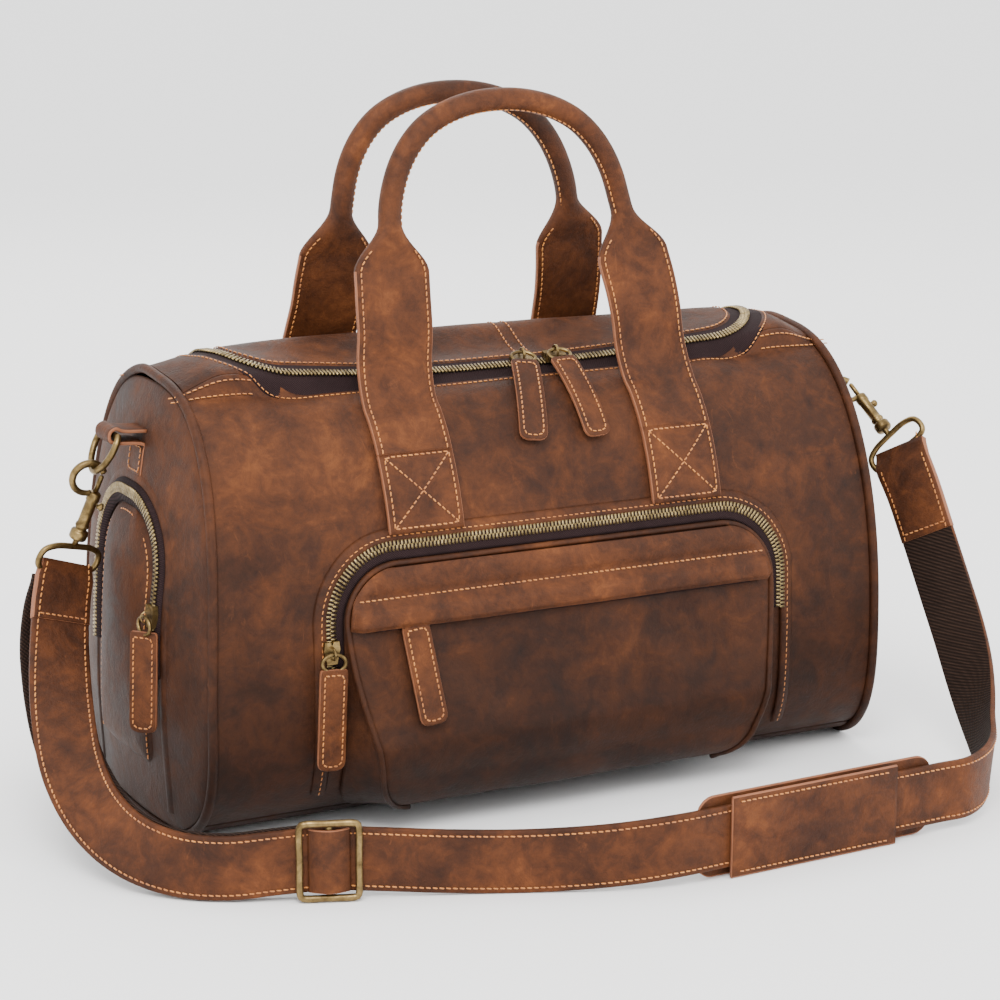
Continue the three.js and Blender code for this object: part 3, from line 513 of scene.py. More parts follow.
def tube_shape(path, radius, closed=False, sides=12):
    path = np.asarray(path, float)
    _, across, face = frames(path, closed=closed)
    angles = np.linspace(0, 2 * math.pi, sides, endpoint=False)
    if closed:  # spread the twist left over at the join along the whole ring
        last = np.cross(frames(path, closed=True)[0][0], across[0])
        slip = math.atan2(float(across[-1] @ last), float(across[-1] @ across[0]))
        turn = -slip * np.arange(len(path)) / len(path)
    else:
        turn = np.zeros(len(path))
    radius = np.broadcast_to(np.asarray(radius, float), len(path))
    rings = [
        p + r * (np.cos(angles + t)[:, None] * a + np.sin(angles + t)[:, None] * f)
        for p, a, f, r, t in zip(path, across, face, radius, turn)
    ]
    return ring_stack(rings, closed)


def merge(*shapes):
    """Several (points, faces) as one."""
    points, faces, start = [], [], 0
    for more_points, more_faces in shapes:
        points.append(np.asarray(more_points, float).reshape(-1, 3))
        faces += [tuple(i + start for i in f) for f in more_faces]
        start += len(points[-1])
    return np.concatenate(points), faces


def resample(path, step):
    """The path again with points about `step` apart; columns past the third follow along."""
    path = np.asarray(path, float)
    lengths = np.concatenate([[0], np.cumsum(np.linalg.norm(np.diff(path, axis=0), axis=1))])
    count = max(2, int(round(lengths[-1] / step)) + 1)
    at = np.linspace(0, lengths[-1], count)
    return np.stack([np.interp(at, lengths, path[:, k]) for k in range(path.shape[1])], axis=1)


STITCH_RING = [(-0.5, 0.25), (-0.36, 1.0), (0.36, 1.0), (0.5, 0.25)]  # place along a stitch, thickness there


def stitches(name, lines, body, pitch=3.9, length=2.9, width=0.5):
    """Sewing along lines given as (points, outward directions): one raised stitch after another."""
    shapes = []
    for points, normals in lines:
        both = np.concatenate([points, np.broadcast_to(normals, np.shape(points))], axis=1)
        both = resample(both, pitch)
        middle = (both[:-1] + both[1:]) / 2
        along = unit(np.diff(both[:, :3], axis=0))
        up = unit(middle[:, 3:] - along * (middle[:, 3:] * along).sum(1, keepdims=True))
        side = np.cross(along, up)
        for at, a, u, v in zip(middle[:, :3], along, up, side):
            a = unit(a + 0.10 * v)
            rings = []
            for t, thick in STITCH_RING:
                centre = at + a * t * length + u * (0.30 * thick - 0.12)
                rings.append(np.array([
                    centre + width * thick * (c * v + s * u)
                    for c, s in ((1, 0), (0.5, 0.87), (-0.5, 0.87), (-1, 0), (0, -0.7))
                ]))
            shapes.append(ring_stack(rings))
    return piece(name, *merge(*shapes), THREAD, body)


def tooth_row(name, path, normals, inward, body, offset):
    """One row of a zip's metal teeth: `inward` points from the tape to the other row."""
    both = resample(np.concatenate([path, normals, inward], axis=1), 2.5)
    along = unit(np.gradient(both[:, :3], axis=0))
    shapes = []
    for row, a in zip(both, along):
        at, up, into = row[:3], unit(row[3:6]), unit(row[6:9])
        at = at + a * offset
        corners = []
        for t, thick in ((-2.2, 0.65), (0.6, 0.62), (1.3, 0.42)):
            for u, w in ((-0.55, 1), (0.95, 1), (0.95, -1), (-0.55, -1)):
                corners.append(at + into * t + up * (u + 0.35) + a * w * thick)
        shapes.append(ring_stack([np.array(corners[i:i + 4]) for i in (0, 4, 8)]))
    return piece(name, *merge(*shapes), TEETH, body)


def tooth_rows(path, normals, centre, *rows):
    """Both rows of a zip's teeth, given as (name, body): the one away from `centre` comes first."""
    along = unit(np.gradient(path, axis=0))
    inward = unit(np.cross(along, normals))
    inward *= np.sign((inward * (np.array(centre) - path)).sum(1, keepdims=True))
    for (name, body), way, offset in zip(rows, (1, -1), (0.0, 1.25)):
        tooth_row(name, path - inward * way, normals, inward * way, body, offset)


def ribbon(name, line_at, outs, lifts, place, material, body, replaces=(), thick=1.2, flip=False, count=None):
    """A strip made of lines drawn at distances `outs` from a middle line and lifted by `lifts`."""
    count = count or len(line_at(outs[0]))
    rows = [place(refit(line_at(out), count), lift) for out, lift in zip(outs, lifts)]
    return shell(name, np.stack(rows), material, body, replaces, thick=thick, flip=flip)


BAND_SIDES, HANDLE_SIDES = 20, 24  # faces round the section of a strap, and of a carrying handle


def catmull(points, samples):
    """A centripetal Catmull-Rom curve through the points, at fractions of its stations."""
    points = np.asarray(points, float)
    last = len(points) - 1
    result = []
    for t in samples:
        place = t * last
        i = min(int(place), last - 1)
        w = place - i
        p1, p2 = points[i], points[i + 1]
        p0 = points[i - 1] if i > 0 else 2 * points[0] - points[1]
        p3 = points[i + 2] if i + 2 <= last else 2 * points[last] - points[last - 1]
        d0, d1, d2 = (np.sum((b[:3] - a[:3]) ** 2) ** 0.25 for a, b in ((p0, p1), (p1, p2), (p2, p3)))
        d1 = max(d1, 1e-4)
        d0, d2 = (d if d > 1e-4 else d1 for d in (d0, d2))
        t1 = ((p1 - p0) / d0 - (p2 - p0) / (d0 + d1) + (p2 - p1) / d1) * d1
        t2 = ((p2 - p1) / d1 - (p3 - p1) / (d1 + d2) + (p3 - p2) / d2) * d1
        result.append(
            p1 + t1 * w + (-3 * p1 + 3 * p2 - 2 * t1 - t2) * w**2 + (2 * p1 - 2 * p2 + t1 + t2) * w**3
        )
    return np.array(result)


def band_shape(path, across, half_width, half_thick, corner=0.35, sides=BAND_SIDES):
    """A flat strap along a path: its section is a rectangle with eased edges, or round where corner is 1."""
    _, across, face = frames(path, across)
    angles = (np.arange(sides) + 0.5) * 2 * math.pi / sides
    shape = [np.broadcast_to(np.asarray(v, float), len(path)) for v in (half_width, half_thick, corner)]
    rings = []
    for p, a, f, w, t, e in zip(path, across, face, *shape):
        u = np.sign(np.cos(angles)) * np.abs(np.cos(angles)) ** e * w
        v = np.sign(np.sin(angles)) * np.abs(np.sin(angles)) ** e * t
        rings.append(p + u[:, None] * a + v[:, None] * f)
    return ring_stack(rings), face, across


def edge_faces(stations, sides):
    """For a band, 1 on each face of its two narrow edges and 0 on the others."""
    flags = []
    for _ in range(stations - 1):
        for j in range(sides):
            near = min((j + 1) % sides, (-(j + 1)) % sides, abs(j + 1 - sides // 2))
            flags.append(1 if near < 2 else 0)
    return flags + [1, 1]


def leather_band(name, path, across, half_width, half_thick, corner, body, replaces=(), sides=BAND_SIDES):
    """A leather strap with cut edges, as a piece."""
    shape, _, _ = band_shape(path, across, half_width, half_thick, corner, sides)
    flags = edge_faces(len(path), sides)
    return piece(name, *shape, TRIM_LEATHER, body, replaces, CUT_EDGE, flags)


# ------------------------------------------------------------------ the shell of the bag

ARC_X = ZIP_X - ZIP_CORNER  # where the opening's corners start
ARC_Y = ZIP_Y + ZIP_CORNER


def opening_x(y, out):
    """Half the length of the top opening at a depth, `out` outside the zip's teeth."""
    radius = ZIP_CORNER + out
    return ARC_X + np.sqrt(np.maximum(radius**2 - np.minimum(y - ARC_Y, 0) ** 2, 0))


def opening_y(x, out):
    """The depth of the opening's front edge at a length along the bag."""
    radius = ZIP_CORNER + out
    return ARC_Y - np.sqrt(np.maximum(radius**2 - np.maximum(np.abs(x) - ARC_X, 0) ** 2, 0))


def spaced(low, high, count, ends=True):
    """Values from low to high, closer together near both ends."""
    t = np.linspace(0, 1, count)
    if ends:
        t = t - 0.11 * np.sin(2 * math.pi * t)
    return low + (high - low) * t


def turned_edge(count, depth=1.5, reach=0.03):
    """How far a sewn edge turns in, from one end of a row of points to the other."""
    t = spaced(0, 1, count)
    return -depth * (np.exp(-t / reach) + np.exp(-(1 - t) / reach))


def rim_x(s, inset=PIPING):
    y, z, _, _ = section(s)
    return cap_x(y, z) - inset


COLUMNS = 150
u = spaced(-1, 1, COLUMNS)
front_top = np.where(np.abs(u * 236) < 178.5, opening_y(u * 236, BODY_TAPE), -SEAM_Y)
rows = spaced(0, 1, 84)[:, None]
s = s_front(BASE_SEAM_Z + 0.2) + rows * (s_top(front_top - 0.2) - s_front(BASE_SEAM_Z + 0.2))
turn_in = turned_edge(84)[:, None] * np.where(rows > 0.5, smooth(np.abs(u * 236), 165, 180), 1.0)
shell("front_panel_leather", barrel(u * rim_x(s), s, turn_in), BODY_LEATHER, "bag", ["front_panel"])

s = s_top(SEAM_Y + 0.2) + rows * (s_back(BASE_SEAM_Z + 0.2) - s_top(SEAM_Y + 0.2))
shell("back_panel_leather", barrel(u * rim_x(s), s, turned_edge(84)[:, None]), BODY_LEATHER, "bag",
      ["back_panel"])

low_s = s_back(BASE_SEAM_Z - 0.2) - GIRTH
s = low_s + spaced(0, 1, 60)[:, None] * (s_front(BASE_SEAM_Z - 0.2) - low_s)
shell("base_panel_leather", barrel(u * rim_x(s), s, turned_edge(60, 1.0)[:, None] * (np.abs(s) > 60)),
      BODY_LEATHER, "bag", ["base_panel"])

for word, side in (("left", -1), ("right", 1)):
    y = spaced(-SEAM_Y + 0.2, SEAM_Y - 0.2, 40)[:, None]
    s = s_top(y)
    inner = np.where(y < ARC_Y, opening_x(np.maximum(y, ARC_Y - ZIP_CORNER - BODY_TAPE + 1), BODY_TAPE),
                     ZIP_X + BODY_TAPE)
    x = side * (inner + spaced(0, 1, 22)[None, :] * (rim_x(s) - inner))
    shell(f"top_yoke_{word}_leather", barrel(x, s, turned_edge(40)[:, None]), BODY_LEATHER, "bag",
          [f"top_yoke_{word}"], flip=side < 0)

    # The rim's cord, covered in leather, and the domed end inside it.
    ring = np.arange(0, 2 * math.pi, math.pi / 110)
    s = np.interp(ring, TURN, SECTION_S)
    y, z, ny, nz = section(s)
    rim = np.stack([side * cap_x(y, z), y + 0.4 * ny, np.maximum(z + 0.4 * nz, PIPING)], axis=1)
    rim[:, 1:] += np.stack([ny, nz], axis=1) * (relief(side * 231.0, s, y, z) * smooth(z, 230, 268))[:, None]
    piece(f"piping_{word}_cord", *tube_shape(rim, PIPING, closed=True), BODY_LEATHER, "bag",
          [f"piping_{word}"])

    share = np.concatenate([np.linspace(0.04, 0.9, 34), np.linspace(0.915, 1, 10)])
    centre_z = 130.0
    inset = PIPING + 0.4
    seam_y, seam_z = y - inset * ny, np.maximum(z - inset * nz, 2 * PIPING + 2.2)
    points = np.stack([
        cap(side, t * seam_y, centre_z + t * (seam_z - centre_z), -1.6 * np.exp(-(1 - t) / 0.02))
        for t in share
    ])
    shell(f"end_panel_{word}_leather", points, BODY_LEATHER, "bag", [f"end_panel_{word}"], flip=side > 0,
          closed_columns=True)
    middle = cap(side, np.array([0.0]), np.array([centre_z]), -0.2)
    first = points[0]
    fan = [(i, (i + 1) % len(first), len(first)) for i in range(len(first))]
    if side < 0:
        fan = [f[::-1] for f in fan]
    disc = piece(f"end_panel_{word}_middle", np.concatenate([first, middle]), fan, BODY_LEATHER, "bag")
    disc.modifiers.new("thickness", "SOLIDIFY").thickness = LEATHER * MM

# The lining follows the leather.
s = (s_top(SEAM_Y) + np.linspace(0, 1, 120)[:, None] * (s_top(-SEAM_Y - 8) + GIRTH - s_top(SEAM_Y)))
shell("lining_cloth_body", barrel(np.linspace(-1, 1, 60) * rim_x(s, 9), s, -LEATHER - 1.0), LINING, "bag",
      ["lining"], thick=0.8)

# A strip of leather behind the rear seam, on which the lid turns.
y = np.linspace(SEAM_Y - 4, SEAM_Y + 7, 8)[:, None]
shell("lid_hinge_strip", barrel(np.linspace(-ZIP_X, ZIP_X, 60), s_top(y), -LEATHER - 0.4), BODY_LEATHER,
      "bag", thick=0.5)

# Seams of the shell, sewn beside the join.
lines = []
for sign in (-1, 1):
    x = sign * np.linspace(180, 233, 14)
    for y in (-SEAM_Y - 3.2, -SEAM_Y - 7.4):
        s = s_top(np.full(14, y))
        _, _, ny, nz = section(s)
        lines.append((barrel(x, s, 0.0), np.stack([0 * x, ny, nz], axis=1)))
x = np.linspace(-232, 232, 120)
s = s_top(np.full(120, SEAM_Y + 3.4))
_, _, ny, nz = section(s)
lines.append((barrel(x, s, 0.0), np.stack([0 * x, ny, nz], axis=1)))
stitches("shell_seam_stitches", lines, "bag")

# ------------------------------------------------------------------ main zip and lid


def zip_line(out):
    """The U of the main zip, `out` outside its teeth, as x and y from its right end round to its left."""
    x, y, r = ZIP_X + out, ZIP_Y - out, ZIP_CORNER + out
    corner = np.linspace(0, math.pi / 2, 30)
    right = np.stack([x - r + r * np.cos(corner), y + r - r * np.sin(corner)], axis=1)
    path = np.concatenate([[[x, SEAM_Y - 0.8]], right, right[::-1] * [-1, 1], [[-x, SEAM_Y - 0.8]]])
    return resample(path, 2.6)


def on_top(line, out=0.0):
    return barrel(line[:, 0], s_top(line[:, 1]), out)


def top_normals(line):
    _, _, ny, nz = section(s_top(line[:, 1]))
    return np.stack([0 * ny, ny, nz], axis=1)


TAPE_LIFTS = [-0.5] * 7
ribbon("main_zip_body_tape", zip_line, np.linspace(0.5, BODY_TAPE + 3, 7), TAPE_LIFTS, on_top, TWILL, "bag",
       ["main_zip_body"])
ribbon("main_zip_lid_tape", zip_line, np.linspace(-0.5, -TAPE - 3, 7), TAPE_LIFTS, on_top, TWILL, "lid",
       ["main_zip_lid"], flip=True)
line = zip_line(0.0)
tooth_rows(on_top(line), top_normals(line), (0, 60, 300), ("main_zip_body_teeth", "bag"),
           ("main_zip_lid_teeth", "lid"))

lid_x = spaced(-1, 1, 120)[None, :]
depth = spaced(0, 1, 40)[:, None]
lid_half = ZIP_X - TAPE
x = lid_x * lid_half
front_edge = opening_y(x, -TAPE)
y = front_edge + depth * (SEAM_Y - 1.2 - front_edge)
lid_edge = -1.6 * np.exp(-(y - front_edge) / 1.6) - 1.6 * np.exp(-(lid_half - np.abs(x)) / 1.6)
centre_seam = -1.3 * np.exp(-(((x - 16) / 1.5) ** 2))
shell("lid_panel_leather", barrel(x, s_top(y), lid_edge + centre_seam + 0.5), BODY_LEATHER, "lid",
      ["lid_panel"])

lines = []
for seam_x in (11.5, 20.5):
    y = np.linspace(-26, SEAM_Y - 4, 30)
    spot = np.stack([np.full(30, seam_x), y], axis=1)
    lines.append((on_top(spot, 0.5), top_normals(spot)))
line = zip_line(-TAPE - 2.6)
lines.append((on_top(line, 0.5), top_normals(line)))
stitches("lid_stitches", lines, "lid")
line = zip_line(BODY_TAPE + 2.4)
stitches("main_zip_stitches", [(on_top(line), top_normals(line))], "bag", pitch=3.6, length=2.6, width=0.4)

# ------------------------------------------------------------------ front pocket

BULGE, BULGE_Z, LIP = 26.0, 62.0, 5.0
FLAP_DIP = 6.2  # how far the face lies back behind the flap, where its zip runs
FACE_TAPER = 24.0  # how much narrower the face is at its foot than at the flap


def arch(half, low, high, corner, base_corner=0.0):
    """The outline of an arch in x and z, from its right foot over the top to its left foot."""
    turn = np.linspace(0, math.pi / 2, 22)
    right = np.stack([half - corner + corner * np.cos(turn), high - corner + corner * np.sin(turn)], axis=1)
    foot = np.array([[half, low]])
    if base_corner:
        turn = np.linspace(-math.pi / 2, 0, 12)
        foot_z = low + base_corner * (1 + np.sin(turn))
        foot = np.stack([half + base_corner * (np.cos(turn) - 1), foot_z], axis=1)
    left = np.concatenate([foot, right])[::-1] * [-1, 1]
    return resample(np.concatenate([foot, right, left]), 3.0)


def on_front(line, out=0.0):
    return barrel(line[:, 0], s_front(line[:, 1]), out)


def front_normals(line):
    _, _, ny, nz = section(s_front(line[:, 1]))
    return np.stack([0 * ny, ny, nz], axis=1)


def face_y(x, z):
    """The pouch's front face: it swells out from its lip and hangs fullest low down."""
    t = np.clip((POCKET_HIGH - z) / (POCKET_HIGH - BULGE_Z), 0, 1)
    low = np.clip((BULGE_Z - z) / (BULGE_Z - POCKET_LOW), 0, 1)
    lift = np.where(z > BULGE_Z, LIP + (BULGE - LIP) * t**2, BULGE * np.sqrt(np.maximum(1 - low**3, 0.12)))
    lift = lift - FLAP_DIP * smooth(z, 132.5, 136) * (1 - smooth(z, 148, 151.5)) * (np.abs(x) < 138)
    half = -np.interp(s_front(np.maximum(z, 40)), SECTION_S, SECTION_Y)
    points = grid(x, -half - lift, z)
    side = 1 - (np.abs(x) / POCKET_X) ** 6
    soft = 1.6 * soft_noise(points, 120, 12) + 0.5 * soft_noise(points, 40, 13)
    return -half - lift - soft * np.clip(side, 0, 1) * smooth(POCKET_HIGH - z, 4, 40)


def pouch_taper(z):
    """How far the face's side edge lies inside the pouch's outline: it narrows towards its foot."""
    return FACE_TAPER * (1 - smooth(z, -20, 140))


FACE_INSET = 2.0
face_low, face_high = POCKET_LOW + FACE_INSET, POCKET_HIGH - FACE_INSET
t = spaced(0, 1, 64)[:, None]
z = face_low + t * (face_high - face_low)
corner = POCKET_CORNER - FACE_INSET
top_cut = corner_cut(z - face_high + corner, corner)
foot_cut = corner_cut(face_low + POCKET_BASE_CORNER - z, POCKET_BASE_CORNER)
half = POCKET_X - FACE_INSET - top_cut - foot_cut - pouch_taper(z)
x = spaced(-1, 1, 110)[None, :] * half
edge_roll = 2.2 * sum(np.exp(-away / 2.0) for away in (half - np.abs(x), z - face_low, face_high - z))
y = face_y(x, z) + np.minimum(edge_roll, 2.4)
shell("pocket_face_leather", grid(x, y, z), POCKET_LEATHER, "front_pocket", ["pocket_face"])

outline = arch(POCKET_X - 1.2, POCKET_LOW + 1.2, POCKET_HIGH - 1.2, POCKET_CORNER - 1, POCKET_BASE_CORNER)
edge_x = np.abs(outline[:, 0])
edge_x = np.sign(outline[:, 0]) * (edge_x - pouch_taper(outline[:, 1]) * smooth(edge_x, 60, 130))
cord = grid(edge_x, face_y(POCKET_X, outline[:, 1]) + 1.4, outline[:, 1])
piece("pocket_piping", *tube_shape(cord, 1.9, sides=10), POCKET_LEATHER, "front_pocket")

back_line = arch(POCKET_X + 0.5, POCKET_LOW + 0.5, POCKET_HIGH + 0.5, POCKET_CORNER, POCKET_BASE_CORNER + 1)
back_line = refit(back_line, len(outline))
inner_edge, outer_edge = on_front(back_line, 1.4), cord + [0, 0.6, 0]
gusset_rows = []
away = unit(grid(back_line[:, 0], 0, back_line[:, 1] - 90))
for t in np.linspace(0, 1, 14):
    pucker = 1.3 * math.sin(math.pi * t) * np.sin(np.arange(len(away)) * 0.55)
    row = inner_edge + (outer_edge - inner_edge) * t
    gusset_rows.append(row - away * (1.2 * math.sin(math.pi * t) + 0.25 * pucker)[:, None])
gusset = shell("pocket_gusset_leather", np.stack(gusset_rows), POCKET_LEATHER, None, ["pocket_gusset"],
               thick=1.4)
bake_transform(gusset)

ZIP_FOOT, FRAME_FOOT = 110.0, 30.0  # how low the pocket's zip and its stitched frame reach


def pocket_arch(out, low=ZIP_FOOT):
    return arch(POCKET_X + out, low, POCKET_HIGH + out, POCKET_CORNER + out)


def frame_arch(out):
    return pocket_arch(out, FRAME_FOOT)


ribbon("pocket_zip_tape", pocket_arch, np.linspace(0.5, POCKET_TAPE, 7), [1.5] * 7, on_front, TWILL, "bag",
       ["pocket_zip"])
line = pocket_arch(8.7)
tooth_rows(on_front(line, 2.0), front_normals(line), (0, -110, 90), ("pocket_zip_outer_teeth", "bag"),
           ("pocket_zip_inner_teeth", "bag"))

# A welt of shell leather frames the zip, sewn down along its outer edge.
ribbon("pocket_zip_frame", frame_arch, np.linspace(POCKET_TAPE - 1.0, POCKET_TAPE + 8, 9),
       (1.0, 1.9, 2.2, 2.2, 2.1, 1.9, 1.5, 0.8, 0.1), on_front, BODY_LEATHER, "bag", thick=0.5,
       count=len(frame_arch(POCKET_TAPE - 2)))
line = frame_arch(POCKET_TAPE + 3.4)
stitches("pocket_frame_stitches", [(on_front(line, 2.1), front_normals(line))], "bag")

# The flap covers the pouch from its arch down to the hidden zip, with a puffed lower edge that overhangs.
FLAP_LOW, FOLD_Z, FLAP_ZIP_X = 133.0, 150.5, 132.0
z = FLAP_LOW + spaced(0, 1, 34)[:, None] * (POCKET_HIGH - 2.6 - FLAP_LOW)
corner = POCKET_CORNER - 2.2
cut = corner_cut(z - (POCKET_HIGH - 2.2) + corner, corner)
half = POCKET_X - 2.0 - cut
x = spaced(-1, 1, 120)[None, :] * half
puff = 1.6 + 5.6 * (1 - smooth(z, FOLD_Z - 9, FOLD_Z + 1)) + 1.6 * smooth(z, FOLD_Z, FOLD_Z + 7)
puff = puff * smooth(half - np.abs(x), -2, 7) * (0.35 + 0.65 * smooth(POCKET_HIGH - z, 1, 9)) + 0.8
puff = puff - 2.2 * np.exp(-((z - FLAP_LOW) / 2.0) ** 2)
ripple = 0.9 * soft_noise(grid(x, 0, z), 60, 21)
y = face_y(POCKET_X, z) - puff - ripple * smooth(half - np.abs(x), 0, 20)
shell("pocket_flap_leather", grid(x, y, z), TRIM_LEATHER, "front_pocket", ["pocket_flap"], edge=CUT_EDGE)
x = np.linspace(-POCKET_X + 8, POCKET_X - 8, 110)
z = np.full(110, FOLD_Z)
stitches("flap_stitches", [(grid(x, face_y(POCKET_X, z) - 2.7, z), np.array([0.0, -1.0, 0.15]))],
         "front_pocket")
x = np.linspace(-FLAP_ZIP_X, FLAP_ZIP_X, 90)
z = box("flap_zip")[0][2] + np.linspace(0, 1, 5)[:, None] * 20 + 0 * x
shell("flap_zip_tape", grid(x, face_y(x, z) - 0.7, z), TWILL, "front_pocket", ["flap_zip"], thick=0.6)

# ------------------------------------------------------------------ end pockets

END_Y, END_LOW, END_HIGH, END_TAPE = 58.0, 42.0, 212.0, 14.0
END_LIP, END_BULGE, END_ROLL = 1.5, 7.5, 6.0  # the panel's height at its edge, its full height, its rise
END_FOOT, END_ZIP_FOOT = 18.0, END_LOW + 60  # how low the pocket's stitched frame and its zip reach
END_BASE_CORNER = 12.0
END_STITCH = 4.0  # from the edge of the panel to its stitches


def end_zip(out):
    return arch(END_Y + out, END_ZIP_FOOT, END_HIGH + out, END_Y - 6 + out)


def end_frame(out):
    return arch(END_Y + out, END_FOOT, END_HIGH + out, END_Y - 6 + out)


def end_height(edge):
    return END_LIP + (END_BULGE - END_LIP) * (1 - np.exp(-np.maximum(edge, 0) / END_ROLL))


for word, side in (("left", -1), ("right", 1)):
    def on_end(line, out):
        return cap(side, line[:, 0], line[:, 1], out)

    low, high, half = END_LOW, END_HIGH - END_TAPE, END_Y - END_TAPE
    corner = half - 2
    z = low + (high - low) * spaced(0, 1, 46)[:, None]
    width = half - corner_cut(z - high + corner, corner)
    width = width - corner_cut(low + END_BASE_CORNER - z, END_BASE_CORNER)
    y = spaced(-1, 1, 40)[None, :] * width
    edge = np.minimum(np.minimum(width - np.abs(y), z - low), high - z)
    shell(f"end_pocket_{word}_leather", cap(side, y, z, end_height(edge)), BODY_LEATHER, "bag",
          [f"end_pocket_{word}"], flip=side < 0)
    seam = arch(half - END_STITCH, low + END_STITCH, high - END_STITCH, corner - END_STITCH)
    normal = np.array([side * 1.0, 0.0, 0.1])
    stitches(f"end_pocket_{word}_stitches", [(on_end(seam, end_height(END_STITCH)), normal)], "bag")

    share = np.linspace(0, 1, 7)
    ribbon(f"end_zip_{word}_tape", end_zip, -END_TAPE * share, 2.5 + 3.0 * np.sin(math.pi * share), on_end,
           TWILL, "bag", [f"end_zip_{word}"], thick=1.0, flip=side > 0)
    path = on_end(end_zip(-5.5), 5.4)
    normals = np.broadcast_to([side * 1.0, 0.0, 0.12], path.shape)
    tooth_rows(path, normals, (side * 240, 0, 100), (f"end_zip_{word}_outer_teeth", "bag"),
               (f"end_zip_{word}_inner_teeth", "bag"))
    ribbon(f"end_frame_{word}", end_frame, np.linspace(-1.0, 8, 8), (1.2, 2.2, 2.6, 2.5, 2.2, 1.7, 0.9, 0.0),
           on_end, BODY_LEATHER, "bag", thick=0.8, flip=side < 0, count=len(end_frame(3)))
    stitches(f"end_frame_{word}_stitches", [(on_end(end_frame(3.4), 2.4), normal)], "bag")

# ------------------------------------------------------------------ sliders and pulls

BAIL = 7.2
RING_HALF_WIDTH, RING_HALF_LENGTH, RING_WIRE = 7.6, 5.4, 1.2
TAB_WIDTH, TAB_LENGTH, TAB_THICK, TAB_CORNER, TAB_SIDES = 18.0, 62.0, 3.2, 5.0, 20
TAB_STATIONS = np.concatenate([
    [0, 0.8], np.linspace(2.2, TAB_LENGTH - TAB_CORNER, 12), TAB_LENGTH - np.array([2.6, 0.9, 0])
])


def tab_shape(top):
    """A leather tab with rounded lower corners, its faces slightly padded."""
    angles = (np.arange(TAB_SIDES) + 0.5) * 2 * math.pi / TAB_SIDES
    across, out = (np.sign(v) * np.abs(v) ** e for v, e in ((np.cos(angles), 0.25), (np.sin(angles), 0.35)))
    cut = corner_cut(TAB_STATIONS - TAB_LENGTH + TAB_CORNER, TAB_CORNER) + 1.2 * np.exp(-TAB_STATIONS / 0.8)
    half = TAB_WIDTH / 2 - cut
    rings = [grid(across * w, top - z, out * TAB_THICK / 2) for z, w in zip(TAB_STATIONS, half)]
    return ring_stack(rings[::-1])


def add_pull(name, at, up, hang, twist=0.0, bend=None):
    """A wire ring through the slider's bail and the sewn leather tab that hangs from it."""
    outward, back = unit(up), -unit(hang)
    face = unit(outward - back * (outward @ back))
    side = np.cross(back, face)
    turn = np.stack([side, back, face])
    origin = np.asarray(at, float) + outward * BAIL

    def place(points):
        return np.asarray(points, float) @ turn + origin

    def curve(points):
        """Bends the tab about its ring, to the radius `bend`."""
        points = np.array(points, float)
        if bend:
            turned = (top - points[:, 1]) / bend
            out = points[:, 2].copy()
            points[:, 1] = top - (bend + out) * np.sin(turned)
            points[:, 2] = (bend + out) * np.cos(turned) - bend
        return points

    angles = np.linspace(0, 2 * math.pi, 36, endpoint=False)
    loop = grid(RING_HALF_WIDTH * np.cos(angles), RING_HALF_LENGTH * (np.sin(angles) - 1), 0)
    points, faces = tube_shape(loop, RING_WIRE, closed=True, sides=10)
    piece(f"{name}_ring", place(points), faces, BRASS, name)
    cosine, sine = math.cos(math.radians(twist)), math.sin(math.radians(twist))
    spin = np.array([[cosine, 0, -sine], [0, 1, 0], [sine, 0, cosine]])
    top = -2 * RING_HALF_LENGTH + 1.3
    points, faces = tab_shape(top + 0.4)
    sides = edge_faces(len(TAB_STATIONS), TAB_SIDES)
    piece(f"{name}_tab", place(curve(points @ spin)), faces, TRIM_LEATHER, name, [name], CUT_EDGE, sides)
    w, low = TAB_WIDTH / 2 - 2.7, 5 - TAB_LENGTH
    border = np.array([(-w, -3), (-w, low), (2 - w, low - 2), (w - 2, low - 2), (w, low), (w, -3), (-w, -3)])
    lines = []
    for level in (1, -1):
        seam = resample(grid(border[:, 0], border[:, 1] + top, level * (TAB_THICK / 2 - 0.1)), 2.0)
        lines.append((place(curve(seam @ spin)), np.array([0, 0, float(level)]) @ spin @ turn))
    stitches(f"{name}_stitches", lines, name, pitch=3.6, length=2.6, width=0.5)


main_z = float(np.interp(s_top(ZIP_Y), SECTION_S, SECTION_Z))
MAIN_UP = (0, -0.32, 0.95)
MAIN_BEND = 125.0
add_pull("main_left_pull", (7, ZIP_Y, main_z), MAIN_UP, (-0.26, -0.8, -0.46), bend=MAIN_BEND)
add_pull("main_right_pull", (31, ZIP_Y, main_z), MAIN_UP, (0.04, -0.8, -0.46), bend=MAIN_BEND)
POCKET_PULL_Z = 121.0
front_depth = -np.interp(s_front(POCKET_PULL_Z), SECTION_S, SECTION_Y)
add_pull("pocket_pull", (-POCKET_X - POCKET_TAPE + 1.7, -front_depth - 1.55, POCKET_PULL_Z), (0, -1, 0),
         (-0.06, -0.03, -1))
FLAP_PULL_Z = 142.0
flap_half = -np.interp(s_front(FLAP_PULL_Z), SECTION_S, SECTION_Y)
flap_lift = LIP + (BULGE - LIP) * ((POCKET_HIGH - FLAP_PULL_Z) / (POCKET_HIGH - BULGE_Z)) ** 2
add_pull("flap_pull", (-108, -flap_half - flap_lift + 4.5, FLAP_PULL_Z), (0, -1, 0.1), (0.1, -0.26, -1))
